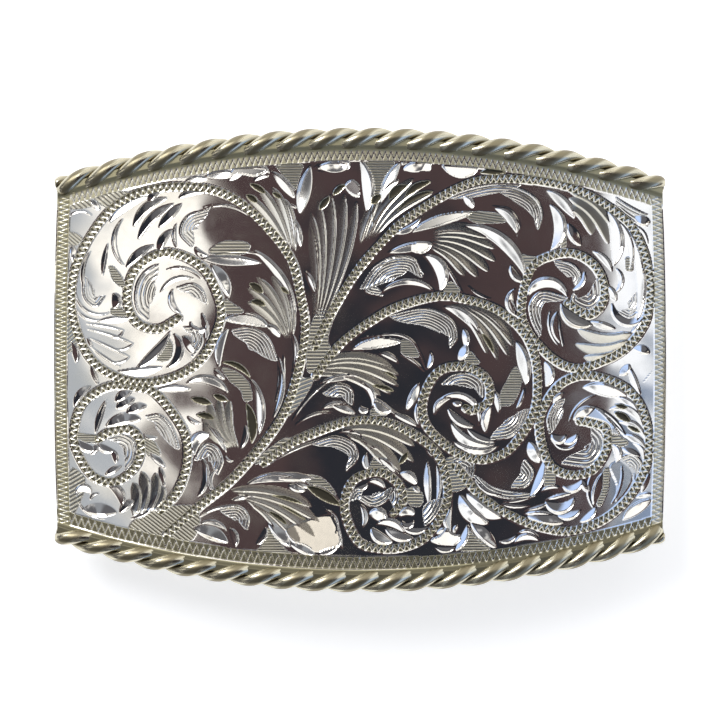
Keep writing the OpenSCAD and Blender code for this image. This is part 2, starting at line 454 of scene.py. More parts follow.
CUTS_UPPER_RIGHT = [
    (18.0, 20.5, 20.9, 19.2, 19.6, 18.8, 21.2, 16.9),
    (25.2, 22.9, 27.7, 21.9, 27.0, 20.7, 29.1, 19.0),
    (25.6, 21.0, 27.8, 18.6, 26.2, 18.0, 25.8, 14.8),
    (33.2, 20.4, 35.7, 16.4, 33.9, 16.3, 34.3, 12.8),
    (34.4, 19.2, 36.9, 16.2, 36.0, 16.2, 36.4, 12.0),
    (35.6, 18.8, 38.8, 11.5, 37.4, 11.5, 37.0, 4.4),
    (22.5, 7.8, 25.2, 11.2, 25.3, 9.8, 28.0, 8.4),
    (26.7, 6.6, 25.8, 4.3, 26.9, 4.3, 27.2, 2.2),
    (27.2, 7.7, 27.9, 5.0, 29.3, 6.3, 31.4, 4.8),
    (31.1, 5.2, 32.8, 5.1, 32.8, 4.2, 34.6, 4.2),
    (34.1, 7.6, 35.8, 4.6, 36.4, 5.6, 38.6, 6.0),
    (21.1, 9.7, 19.7, 8.3, 20.8, 8.0, 21.4, 5.8),
    (20.4, 12.9, 20.7, 10.9, 21.8, 11.2, 22.4, 10.6),
    (28.1, 18.5, 28.5, 16.2, 29.6, 17.1, 30.0, 15.4),
    (28.6, 9.4, 30.2, 10.2, 29.6, 10.6, 30.3, 12.0),
    (31.4, 14.7, 33.4, 13.8, 32.8, 13.3, 34.1, 11.9),
    (33.4, 10.0, 34.4, 9.4, 33.6, 8.9, 34.6, 8.0),
    (34.6, 12.4, 35.6, 11.2, 35.0, 10.8, 34.6, 9.2),
    (36.6, 3.6, 37.7, 5.0, 38.4, 4.4, 39.0, 6.6),
    (37.2, 19.4, 38.6, 18.2, 38.2, 19.6, 39.3, 18.7),
    (36.0, 18.2, 37.8, 18.0, 38.4, 16.8, 38.9, 15.4),
    (37.0, 1.6, 38.2, 0.8, 38.4, 2.0, 39.3, 0.9),
    (24.9, -0.2, 26.2, -1.6, 25.0, -1.8, 25.1, -3.6),
    (38.2, -3.2, 39.4, -1.7, 38.8, -2.6, 39.9, -1.0),
    (36.4, -0.8, 37.3, -2.3, 36.6, -2.6, 38.0, -4.8),
    (35.2, -2.0, 36.4, -1.6, 35.6, -1.0, 36.4, -0.6),
]
CUTS_LOWER_LEFT = [
    (-36.4, -3.5, -37.4, -4.9, -38.4, -4.4, -38.7, -6.4),
    (-33.1, -5.6, -32.0, -5.4, -32.4, -4.2, -30.8, -4.2),
    (-33.0, -6.5, -31.4, -6.3, -31.9, -5.0, -30.4, -5.2),
    (-31.6, -7.1, -30.0, -7.0, -30.6, -5.9, -28.8, -6.2),
    (-34.5, -9.0, -32.2, -8.8, -32.6, -7.2, -29.6, -8.0),
    (-34.3, -5.3, -34.8, -7.6, -35.6, -7.4, -35.8, -10.0),
    (-35.4, -11.1, -34.1, -12.6, -34.4, -11.5, -33.2, -12.2),
    (-33.6, -12.1, -32.7, -13.1, -33.4, -13.3, -33.0, -14.0),
    (-34.6, -15.6, -32.8, -15.0, -33.3, -14.3, -32.1, -14.2),
    (-29.3, -10.1, -28.3, -10.8, -28.3, -10.2, -27.4, -10.4),
    (-28.5, -12.5, -27.4, -13.9, -27.3, -12.9, -26.2, -14.6),
    (-27.1, -14.4, -26.4, -15.6, -27.0, -15.8, -26.4, -17.0),
    (-38.4, -10.6, -36.8, -12.5, -36.9, -11.3, -35.6, -12.0),
    (-36.4, -12.8, -35.4, -12.2, -36.0, -11.6, -35.2, -11.4),
    (-34.3, -16.9, -32.0, -17.6, -33.2, -18.0, -32.2, -19.8),
    (-32.8, -18.0, -31.8, -18.6, -32.4, -18.7, -32.0, -19.5),
    (-32.5, -20.7, -31.0, -19.8, -31.6, -19.0, -30.3, -18.9),
    (-30.6, -19.6, -29.9, -18.5, -30.3, -18.4, -29.8, -17.2),
    (-29.7, -19.4, -28.4, -17.8, -29.0, -17.6, -28.4, -16.2),
    (-29.6, -20.3, -27.8, -19.3, -28.2, -18.9, -27.2, -17.9),
    (-36.4, -18.9, -35.9, -18.0, -36.0, -18.5, -35.3, -18.1),
    (-38.4, -18.6, -37.4, -16.8, -37.2, -17.8, -36.3, -18.2),
    (-37.6, -20.2, -35.2, -21.2, -35.0, -19.4, -32.8, -20.6),
    (-31.2, -21.4, -28.8, -20.9, -29.2, -20.4, -27.4, -19.0),
    (-23.5, -3.2, -20.4, -2.1, -20.5, -3.2, -17.8, -4.5),
    (-19.6, -1.2, -18.8, -1.8, -19.4, -2.0, -18.3, -2.6),
    (-14.9, -2.3, -12.9, -5.8, -14.4, -5.6, -13.7, -10.0),
    (-15.5, -8.6, -15.1, -10.3, -15.8, -10.2, -16.2, -12.0),
    (-20.4, -9.0, -19.2, -10.9, -18.6, -10.4, -18.0, -12.6),
    (-18.0, -12.6, -17.5, -13.7, -17.8, -13.1, -17.0, -13.4),
    (-20.0, -10.2, -22.2, -10.0, -21.4, -11.0, -22.3, -12.7),
    (-22.7, -4.0, -24.8, -3.4, -24.6, -4.2, -27.6, -4.1),
    (-23.4, -7.4, -22.4, -8.5, -22.8, -7.8, -21.4, -8.6),
    (-18.4, -18.2, -20.4, -16.9, -20.0, -16.3, -18.8, -14.6),
    (-21.9, -18.4, -20.4, -16.0, -21.2, -16.0, -21.4, -13.0),
]
CUTS_BOTTOM = [
    (-15.4, -16.9, -11.4, -15.2, -11.6, -16.4, -7.0, -16.7),
    (-12.0, -15.8, -9.0, -16.3, -9.0, -15.1, -6.0, -16.0),
    (-9.6, -16.9, -8.6, -17.7, -8.6, -16.7, -7.4, -17.6),
    (-8.9, -16.2, -7.6, -17.2, -7.8, -16.4, -6.8, -17.1),
    (-12.4, -21.8, -11.4, -23.9, -10.6, -22.4, -9.4, -25.2),
    (-9.6, -24.6, -7.8, -26.0, -7.0, -24.9, -6.0, -26.6),
    (-5.9, -26.0, -4.2, -26.1, -4.2, -25.4, -2.9, -25.0),
    (-22.6, -22.6, -19.6, -24.4, -19.3, -22.6, -17.8, -24.6),
    (-21.9, -22.3, -19.3, -21.7, -19.4, -22.4, -18.0, -23.0),
    (-12.7, -22.4, -12.9, -24.4, -13.3, -23.4, -14.0, -24.8),
    (-17.6, -22.6, -16.4, -23.8, -17.3, -23.8, -16.9, -25.2),
    (-17.4, -19.0, -15.8, -18.3, -15.8, -18.9, -14.2, -18.4),
    (-4.0, -20.2, -2.9, -22.4, -3.7, -22.4, -2.4, -25.4),
    (-5.6, -3.2, -3.0, -2.0, -3.0, -2.9, 0.0, -2.1),
    (-5.2, -6.7, -3.4, -5.6, -3.2, -6.3, -1.8, -6.0),
    (-4.0, -5.9, -2.2, -7.0, -1.8, -6.1, -0.6, -7.2),
    (-1.0, -2.8, 1.9, -4.2, 0.9, -4.2, 1.6, -6.8),
    (0.1, -6.1, 0.8, -7.1, 0.6, -6.4, 1.1, -6.5),
    (2.2, -5.2, 4.0, -7.0, 3.6, -6.0, 4.3, -6.6),
    (4.3, -7.2, 6.4, -8.4, 6.0, -7.4, 7.7, -8.9),
    (8.0, -3.0, 6.6, -4.8, 7.7, -5.2, 6.3, -6.8),
    (8.1, -5.2, 7.4, -7.0, 8.0, -7.4, 8.1, -9.0),
    (2.4, 1.0, 4.0, 0.2, 4.2, 0.9, 5.2, -0.4),
    (-3.0, -9.8, -0.4, -9.6, -0.6, -10.1, 1.0, -12.2),
    (1.1, -12.0, 2.0, -11.5, 2.0, -12.0, 2.8, -12.0),
    (1.0, -12.4, 0.4, -14.0, 1.2, -13.6, 1.4, -15.0),
    (2.0, -13.4, 4.4, -14.0, 3.4, -14.4, 4.6, -15.2),
    (5.2, -15.4, 6.6, -15.0, 6.0, -16.0, 7.5, -16.8),
    (8.8, -11.6, 9.8, -12.4, 9.0, -12.4, 9.7, -13.1),
    (9.0, -13.2, 9.5, -16.0, 8.6, -15.6, 9.3, -19.6),
    (10.1, -13.4, 10.9, -16.0, 10.3, -16.4, 10.2, -19.6),
    (7.1, -17.0, 7.5, -17.7, 7.8, -17.1, 8.1, -17.8),
    (5.4, -21.2, 6.1, -19.8, 6.4, -20.9, 7.3, -21.0),
    (5.6, -21.3, 6.4, -22.7, 6.6, -21.9, 7.2, -21.4),
    (5.4, -22.0, 7.4, -23.4, 7.2, -22.6, 9.3, -22.4),
    (1.6, -22.4, 2.0, -24.4, 3.0, -23.2, 4.4, -24.4),
    (3.3, -22.4, 4.7, -24.2, 5.2, -23.0, 7.2, -24.0),
    (0.0, -19.4, 0.4, -21.4, 0.9, -20.2, 0.3, -22.6),
    (1.2, -20.8, 2.2, -19.9, 2.2, -21.6, 3.4, -21.8),
    (-0.4, -17.2, 0.7, -17.3, 0.4, -16.8, 1.0, -16.6),
    (1.0, -16.4, 2.4, -16.0, 2.2, -16.8, 3.4, -17.4),
    (2.0, -22.2, 4.4, -21.4, 3.8, -22.4, 6.0, -23.4),
]
CUTS_LOWER_RIGHT = [
    (11.1, 7.1, 15.3, 5.7, 14.0, 5.2, 16.2, 3.1),
    (13.9, 4.2, 14.7, 2.8, 13.8, 2.9, 14.2, 1.6),
    (14.2, 2.2, 14.6, 1.0, 13.3, 1.2, 13.2, 0.0),
    (9.4, 1.2, 9.8, -0.2, 9.2, 0.0, 9.0, -1.2),
    (21.0, 2.6, 22.9, -0.4, 21.4, -1.0, 22.4, -3.5),
    (18.0, -4.0, 18.9, -5.6, 18.1, -5.6, 18.7, -7.2),
    (22.2, -3.6, 21.6, -5.2, 22.2, -5.4, 21.0, -6.7),
    (9.9, -6.6, 12.4, -4.4, 12.2, -5.2, 16.0, -8.8),
    (10.1, -7.4, 10.5, -5.4, 11.0, -6.2, 12.4, -5.2),
    (12.2, -8.2, 14.0, -9.9, 13.6, -11.2, 18.6, -11.3),
    (12.5, -10.8, 14.9, -11.7, 14.6, -12.7, 18.8, -11.4),
    (14.4, -9.1, 15.7, -10.7, 15.8, -9.9, 18.4, -10.9),
    (17.9, -6.0, 16.4, -8.0, 17.5, -8.2, 17.0, -9.8),
    (11.8, -6.2, 12.6, -8.2, 13.0, -7.2, 15.4, -9.0),
    (12.4, -5.6, 13.0, -6.2, 12.8, -5.4, 13.8, -5.9),
    (22.8, -11.0, 24.3, -13.0, 22.7, -12.8, 24.2, -13.9),
    (26.2, -5.9, 26.4, -4.8, 27.0, -5.4, 27.5, -4.5),
    (30.1, -3.7, 33.0, -3.0, 32.2, -4.7, 36.2, -4.9),
    (28.9, -8.2, 29.8, -6.5, 30.6, -7.9, 31.9, -6.6),
    (33.7, -6.7, 35.8, -6.1, 35.8, -6.9, 38.4, -9.9),
    (34.4, -5.0, 36.6, -5.4, 36.2, -6.2, 38.4, -9.0),
    (35.6, -10.2, 37.2, -10.2, 36.8, -11.0, 38.8, -12.2),
    (27.4, -11.0, 28.3, -11.4, 28.3, -10.5, 29.3, -10.0),
    (25.9, -10.0, 26.6, -11.3, 26.9, -10.2, 27.8, -10.1),
    (35.4, -11.8, 37.0, -13.0, 36.6, -11.9, 38.0, -13.0),
    (36.8, -11.2, 38.6, -12.2, 37.8, -12.2, 38.2, -14.4),
    (33.9, -11.4, 35.4, -12.6, 34.4, -12.6, 34.6, -13.8),
    (24.9, -13.2, 24.7, -16.4, 23.8, -15.8, 22.8, -18.6),
    (24.5, -17.7, 25.8, -16.9, 25.4, -17.4, 27.0, -17.3),
    (27.4, -17.0, 29.4, -17.7, 29.4, -16.5, 30.0, -16.1),
    (30.0, -16.1, 30.4, -17.6, 30.8, -16.8, 31.0, -17.8),
    (22.0, -20.2, 24.0, -20.1, 24.0, -19.5, 25.5, -19.2),
    (22.0, -20.7, 24.6, -20.4, 24.4, -21.3, 26.2, -20.9),
    (22.4, -21.0, 25.0, -22.3, 25.2, -20.6, 27.6, -21.9),
    (25.0, -19.0, 26.8, -20.8, 27.0, -19.3, 28.9, -18.6),
    (26.6, -21.0, 28.2, -21.6, 28.2, -20.5, 29.8, -20.2),
    (25.0, -18.9, 27.0, -18.5, 27.0, -18.0, 29.0, -17.9),
    (29.6, -21.8, 31.5, -21.3, 30.6, -20.8, 31.9, -19.8),
    (32.8, -15.2, 31.4, -17.9, 32.3, -18.4, 31.6, -19.8),
    (38.2, -17.9, 38.3, -16.3, 39.0, -16.9, 39.3, -15.3),
    (35.6, -21.6, 37.2, -19.4, 37.9, -20.7, 39.6, -18.9),
    (37.4, -18.6, 38.4, -18.0, 38.4, -18.6, 39.6, -18.2),
    (13.4, -18.0, 15.5, -20.0, 14.3, -21.6, 17.4, -22.0),
    (14.3, -17.8, 16.9, -19.3, 16.2, -21.0, 19.2, -21.3),
    (12.6, -18.0, 11.2, -21.8, 12.4, -21.6, 12.3, -23.4),
    (13.3, -22.1, 12.6, -22.6, 13.2, -22.8, 12.7, -23.4),
    (14.4, -22.0, 14.5, -24.2, 13.6, -23.6, 12.8, -25.7),
    (10.4, -23.6, 11.0, -22.6, 11.2, -23.5, 11.9, -23.7),
    (10.0, -25.0, 11.2, -25.9, 11.2, -25.2, 12.8, -25.2),
    (14.9, -21.8, 16.2, -24.2, 17.4, -23.0, 18.5, -25.4),
    (18.6, -24.3, 20.2, -24.6, 20.0, -24.0, 21.2, -23.5),
    (20.8, -24.7, 22.4, -23.4, 22.6, -24.2, 24.2, -24.4),
    (21.2, -23.4, 23.0, -22.9, 22.8, -23.5, 24.2, -24.2),
    (35.0, -8.4, 36.6, -8.2, 36.4, -8.9, 38.6, -10.6),
    (15.4, -15.8, 17.0, -17.9, 17.2, -17.3, 19.4, -18.0),
    (18.2, -19.0, 20.6, -19.9, 20.8, -19.4, 23.4, -19.4),
]

# Dark slots between the fingers, with the same columns as the bright cuts
SLOTS = [
    (-14.9, 23.7, -13.6, 22.7, -13.3, 23.3, -12.7, 22.4),
    (-15.3, 22.2, -14.4, 21.3, -14.1, 21.9, -13.8, 21.2),
    (-11.8, 22.6, -11.0, 21.8, -10.9, 22.3, -10.5, 21.8),
    (-5.5, 20.2, -4.4, 20.9, -5.1, 21.4, -4.1, 22.0),
    (-3.6, 22.2, -2.6, 22.7, -3.2, 23.2, -2.0, 23.5),
    (-14.9, 10.3, -13.9, 9.2, -13.4, 9.9, -13.1, 9.0),
    (-14.7, 7.9, -13.5, 7.3, -13.0, 7.8, -12.7, 7.3),
    (-10.7, 9.9, -10.0, 9.0, -9.9, 9.5, -9.5, 8.9),
    (-18.6, -0.3, -16.8, -1.0, -17.2, -0.2, -14.8, -2.4),
    (3.9, 21.6, 5.0, 22.3, 4.5, 23.2, 6.3, 23.5),
    (6.0, 22.0, 8.0, 23.0, 7.6, 23.8, 9.6, 24.0),
    (5.0, 20.0, 7.6, 21.6, 7.5, 22.3, 10.0, 22.7),
    (1.5, 21.0, 2.6, 21.4, 1.9, 22.1, 2.8, 22.2),
    (16.2, 25.2, 17.8, 25.9, 17.9, 25.0, 19.6, 25.2),
    (-15.3, -5.8, -15.1, -8.6, -14.0, -8.0, -14.6, -11.2),
    (-22.0, -7.4, -20.8, -7.9, -20.8, -7.1, -19.6, -7.9),
    (-22.8, -5.2, -21.6, -5.9, -21.4, -5.0, -20.0, -5.9),
    (-19.8, -4.7, -18.8, -5.5, -18.8, -4.7, -17.8, -5.5),
    (-7.2, -17.0, -5.4, -18.6, -4.6, -17.6, -2.6, -19.6),
    (-11.0, -19.4, -9.0, -20.6, -9.4, -20.0, -7.2, -21.6),
    (-12.0, -18.2, -9.4, -19.0, -9.8, -18.4, -7.6, -19.4),
    (-12.3, -20.4, -10.8, -21.6, -10.9, -20.9, -9.8, -22.2),
    (5.2, -14.0, 5.6, -13.0, 6.0, -13.6, 6.4, -12.4),
    (1.6, -3.4, 3.2, -4.0, 3.0, -3.4, 4.6, -4.2),
    (3.2, -1.6, 4.2, -2.2, 4.2, -1.8, 5.0, -2.6),
    (34.5, -6.0, 35.4, -6.6, 35.4, -6.0, 36.3, -6.4),
    (34.4, -7.1, 35.4, -8.1, 35.6, -7.2, 36.6, -8.4),
    (36.2, -8.9, 37.0, -9.6, 37.0, -9.0, 38.0, -9.8),
    (16.4, 3.6, 17.2, 2.0, 17.4, 2.8, 18.0, 0.9),
]

# Fans of finger cuts: the two outer roots, three points of the arc of tips, bend, number,
# share of tarnish, slope at the left edge
FANS = [
    ((-9.6, 14.8), (-8.8, 14.6), (-15.5, 22.2), (-13.4, 23.5), (-10.4, 21.8), -0.06, 4, 0.16, 0.24),
    ((-6.3, 5.6), (-5.2, 5.2), (-6.8, 18.0), (-4.6, 22.0), (-0.5, 21.4), -0.04, 6, 0.14, 0.06),
    ((0.9, 16.0), (1.9, 16.4), (5.8, 23.4), (8.9, 24.1), (10.0, 22.7), 0.1, 4, 0.16, 0.07),
    ((0.0, 15.6), (0.4, 15.8), (0.9, 19.6), (1.6, 21.2), (2.4, 22.2), 0.03, 3, 0.16, 0.08),
    ((9.8, 17.2), (9.4, 15.2), (15.8, 17.2), (18.2, 13.2), (14.1, 11.3), 0.12, 7, 0.16, 0.04),
    ((28.2, 22.9), (28.4, 20.8), (34.2, 18.0), (33.9, 16.0), (31.4, 16.9), 0.15, 3, 0.25, 0.06),
    ((-9.9, 2.8), (-9.2, 3.0), (-15.2, 7.8), (-14.6, 10.6), (-10.4, 10.2), -0.08, 5, 0.20, 0.14),
    ((12.2, 7.5), (14.6, 7.4), (17.2, 0.7), (18.8, -0.1), (20.4, 3.2), 0.12, 5, 0.16, 0.04),
    ((-5.2, -0.4), (-5.6, -2.0), (4.4, -0.9), (5.3, -3.3), (2.8, -4.8), 0.13, 5, 0.22, 0.09),
    ((-2.6, -9.4), (-1.4, -10.4), (7.4, -11.6), (6.9, -14.3), (2.7, -12.2), 0.13, 5, 0.22, 0.09),
    ((-17.4, -17.6), (-14.4, -19.4), (-6.4, -19.8), (-5.6, -22.8), (-11.2, -22.4), 0.1, 6, 0.18, 0.06),
    ((-16.4, -11.8), (-17.6, -11.8), (-17.6, -5.4), (-20.0, -5.4), (-21.0, -8.4), 0.1, 5, 0.22, 0.16),
    ((-30.6, -21.0), (-28.0, -20.4), (-30.6, -16.6), (-28.4, -15.0), (-26.8, -17.0), -0.1, 4, 0.16, 0.22),
    ((36.8, 3.6), (35.8, 1.6), (29.4, 4.2), (29.0, 2.4), (30.2, 0.4), 0.14, 3, 0.20, 0.12),
]

# Sets of fine shading lines: points of the outer line, width of the set, pitch
SHADING = [
    ([(-27.2, 12.9), (-29.4, 11.4), (-30.3, 9.0), (-30.0, 6.8), (-28.6, 5.4)], 2.6, 0.5),
    ([(-37.5, 11.4), (-37.3, 8.6), (-35.8, 7.3), (-34.5, 8.6)], 1.7, 0.32),
    ([(-22.6, 15.2), (-24.2, 17.2), (-23.2, 19.4), (-20.4, 20.3)], -2.2, 0.34),
    ([(-24.6, 9.8), (-22.6, 10.2), (-21.2, 9.2), (-20.6, 7.6)], -1.4, 0.34),
    ([(-23.8, 4.4), (-22.0, 4.2), (-21.4, 2.4), (-22.6, 0.4)], -1.2, 0.34),
    ([(-17.3, 4.1), (-14.6, 4.3), (-12.4, 2.9), (-11.1, 0.0)], -2.7, 0.32),
    ([(18.0, 23.5), (21.0, 23.2), (23.6, 21.8), (24.6, 19.6), (24.1, 17.6)], -1.9, 0.3),
    ([(11.8, 21.9), (14.6, 23.0), (18.0, 23.7), (21.6, 23.6)], -1.3, 0.3),
    ([(3.0, 8.6), (0.8, 9.6), (3.6, 13.4), (6.6, 13.8), (8.6, 11.6)], -2.6, 0.3),
    ([(0.0, 9.6), (2.0, 12.6), (4.8, 13.8), (7.4, 13.4), (8.4, 11.2)], -2.6, 0.3),
    ([(4.0, 6.0), (8.8, 6.9), (12.2, 5.4), (13.1, 3.2), (12.2, 1.7)], -2.4, 0.3),
    ([(28.0, 8.4), (24.6, 9.2), (23.0, 7.6), (23.2, 5.4), (24.2, 3.2)], 1.6, 0.34),
    ([(32.6, 11.4), (32.7, 8.4), (31.0, 6.9), (28.8, 7.8), (28.8, 9.0)], -2.2, 0.48),
    ([(38.4, 9.8), (38.0, 7.2), (36.6, 5.8), (35.0, 6.4)], -1.8, 0.32),
    ([(34.6, 22.0), (37.2, 20.4), (38.9, 19.7)], -1.2, 0.4),
    ([(26.2, 13.5), (28.6, 12.9), (29.8, 11.4), (29.2, 9.9)], -1.7, 0.3),
    ([(34.4, 20.9), (36.8, 18.9), (38.9, 18.1)], 0.9, 0.4),
    ([(-34.3, -10.4), (-32.4, -10.0), (-30.6, -11.0), (-30.4, -13.2), (-31.6, -15.2)], -1.8, 0.4),
    ([(-28.9, -7.6), (-27.0, -7.5), (-25.4, -9.2), (-24.4, -12.0)], -1.7, 0.3),
    ([(-22.3, -13.4), (-21.0, -11.4), (-19.4, -11.8), (-18.6, -13.6), (-19.2, -15.4)], -2.2, 0.34),
    ([(-5.0, -4.4), (-3.0, -3.3), (-1.2, -4.0), (-1.0, -6.0)], -2.0, 0.34),
    ([(-6.4, -11.2), (-3.4, -10.4), (-0.9, -11.4), (-0.4, -13.2), (-1.8, -14.9)], -1.5, 0.32),
    ([(-19.0, -19.9), (-16.4, -19.7), (-15.1, -21.0), (-15.2, -22.8)], -2.0, 0.3),
    ([(10.9, -3.2), (12.5, -2.0), (14.6, -1.8), (16.4, -3.0), (16.6, -5.0)], -1.8, 0.36),
    ([(22.8, -6.6), (21.9, -8.9), (20.2, -10.3), (17.6, -10.7)], -2.2, 0.34),
    ([(25.6, -9.9), (25.4, -7.8), (26.4, -5.8), (27.6, -5.2)], -1.7, 0.28),
    ([(31.4, -8.9), (32.9, -10.6), (32.7, -12.8), (30.9, -14.3), (27.2, -14.0)], -2.6, 0.5),
    ([(35.2, -13.2), (36.8, -12.8), (38.1, -14.0), (38.0, -15.6)], -1.8, 0.32),
    ([(22.2, -13.4), (23.4, -15.2), (22.4, -17.0), (20.4, -17.2)], -2.3, 0.36),
    ([(14.9, -15.4), (17.4, -17.8), (20.4, -18.6), (23.6, -18.3)], 0.9, 0.36),
    ([(-0.4, -18.6), (1.6, -19.6), (3.6, -18.8), (4.4, -17.2)], 1.5, 0.34),
    ([(11.2, -18.6), (10.4, -20.6), (8.8, -22.3)], -2.0, 0.4),
    ([(5.0, -17.0), (5.4, -18.6), (4.6, -20.0)], -1.5, 0.5),
    ([(-1.4, -19.0), (-0.9, -17.6), (0.6, -17.2)], -1.6, 0.34),
    ([(12.4, -13.4), (13.8, -12.9), (15.4, -13.9), (15.2, -15.8)], -1.9, 0.36),
    ([(15.2, -12.9), (14.6, -12.6), (14.0, -13.2)], 0.8, 0.3),
]

# Ruled ground: corners as x and y, pitch of the lines, and their lean from level in degrees
GROUND = [
    ((-5.0, 9.3, -2.6, 9.0, -3.2, 6.5, -4.6, 2.5, -3.4, 1.2, -5.2, -1.6, -7.4, -1.8, -6.9, 4.0, -6.0, 6.2),
     0.46, 0),
    ((-9.9, -10.2, -13.4, -12.8, -14.4, -14.2, -11.5, -13.2, -8.6, -11.2), 0.5, 0),
    ((-8.9, -2.4, -6.0, -2.4, -7.4, -5.0, -9.4, -7.6, -10.6, -7.6), 0.5, 20),
    ((-31.0, -21.8, -27.4, -19.8, -22.0, -19.4, -21.4, -22.4, -22.8, -24.6, -26.0, -25.4, -31.6, -24.0),
     0.42, -38),
    ((-36.4, 22.6, -30.4, 22.9, -33.4, 20.2, -35.4, 21.2), 0.5, -40),
    ((-34.1, 12.8, -33.2, 12.6, -31.9, 10.8, -31.9, 9.6, -33.4, 10.6), 0.34, 0),
    ((-33.8, 7.0, -32.4, 7.2, -31.4, 6.2, -31.2, 5.8, -33.6, 6.0), 0.34, 0),
    ((-26.0, 3.2, -25.2, 2.0, -25.4, 0.2, -26.6, -0.3, -27.6, 0.0), 0.3, 0),
    ((-20.6, 14.6, -18.6, 16.1, -15.4, 16.0, -14.6, 15.2, -15.4, 14.2, -19.0, 14.0), 0.42, 0),
    ((-18.3, 8.4, -17.2, 7.6, -15.2, 6.4, -18.4, 6.1), 0.4, 0),
    ((-18.9, -0.8, -16.4, -1.6, -14.8, -3.2, -14.4, -5.4, -15.6, -5.7, -16.0, -4.0, -17.6, -2.8), 0.36, 0),
    ((-11.8, 26.5, -7.4, 26.5, -8.2, 24.6, -8.6, 22.6, -9.3, 23.8), 0.36, 0),
    ((0.5, 27.0, 5.1, 26.9, 3.6, 25.2, 2.7, 22.2, 1.8, 22.2, 1.6, 24.6), 0.36, 0),
    ((12.0, 10.9, 13.9, 9.1, 11.0, 8.9), 0.36, 0),
    ((13.6, 19.9, 15.6, 20.0, 18.4, 19.9, 20.0, 18.6, 18.2, 18.4, 15.4, 18.4), 0.34, -8),
    ((-40.4, 22.2, -37.6, 23.2, -34.0, 23.8, -30.0, 24.2, -33.2, 22.9, -35.8, 21.0, -37.2, 20.5,
     -40.4, 20.3), 0.5, -40),
    ((-40.2, 17.6, -38.4, 17.2, -37.4, 16.4, -38.4, 15.4, -40.2, 15.6), 0.4, -40),
    ((-38.6, -9.8, -36.4, -10.0, -35.2, -10.3, -35.4, -11.3, -38.4, -11.0), 0.32, 0),
    ((-29.8, -10.4, -28.0, -10.6, -26.8, -12.6, -27.6, -13.8, -28.8, -12.6, -29.9, -11.9), 0.34, -30),
    ((21.6, 14.4, 22.8, 13.9, 24.2, 13.9, 22.6, 12.0), 0.4, 0),
    ((27.0, 17.6, 27.9, 17.2, 27.9, 15.2, 27.1, 14.8), 0.4, 30),
    ((35.9, 13.9, 37.0, 13.9, 37.0, 12.0, 36.0, 12.0), 0.36, 0),
    ((5.4, 2.8, 6.6, 2.6, 7.8, 1.2, 8.0, 0.3, 5.6, 0.6), 0.32, 0),
    ((14.7, 1.3, 15.2, 0.8, 16.4, -0.6, 13.9, -0.4), 0.34, 0),
    ((1.0, -7.4, 2.2, -5.7, 4.2, -7.5), 0.34, 0),
    ((1.5, -13.6, 2.6, -12.8, 4.4, -14.9, 1.0, -15.0), 0.34, 0),
    ((20.9, -0.6, 21.9, -2.2, 21.5, -4.4, 20.4, -6.2, 18.7, -6.2, 18.9, -4.4, 19.9, -2.6), 0.34, 0),
    ((11.3, -13.4, 12.6, -12.8, 13.4, -14.8, 14.8, -16.6, 13.6, -17.6, 11.9, -17.8), 0.42, 6),
    ((33.0, -9.8, 35.4, -10.4, 36.6, -11.4, 33.4, -12.2), 0.4, 4),
    ((24.9, -14.6, 26.3, -14.8, 26.4, -16.9, 24.9, -17.5), 0.4, 0),
    ((32.9, -14.6, 33.8, -14.6, 33.6, -17.4, 32.6, -19.9, 31.9, -19.4, 32.9, -17.4), 0.36, 0),
    ((6.1, -17.6, 7.0, -17.0, 8.6, -18.0, 8.3, -19.8, 6.4, -19.5), 0.4, 0),
    ((-12.9, -22.6, -12.0, -22.6, -10.2, -25.5, -8.6, -26.3, -14.5, -26.0, -13.1, -25.0), 0.36, 0),
    ((14.6, -23.2, 15.2, -23.4, 18.2, -25.8, 12.9, -25.8), 0.36, 0),
    ((-8.0, -15.4, -5.4, -15.6, -4.0, -16.8, -3.0, -18.4, -5.0, -17.0, -7.0, -16.6), 0.36, 0),
    ((-28.9, -10.8, -28.0, -10.9, -27.0, -12.4, -28.6, -12.2), 0.34, -30),
    ((-40.2, 7.0, -39.3, 6.6, -38.6, 3.4, -38.2, 1.4, -40.2, 0.6), 0.42, 42),
    ((-39.4, -14.0, -36.6, -16.2, -39.2, -22.2, -39.8, -20.0), 0.5, 30),
]

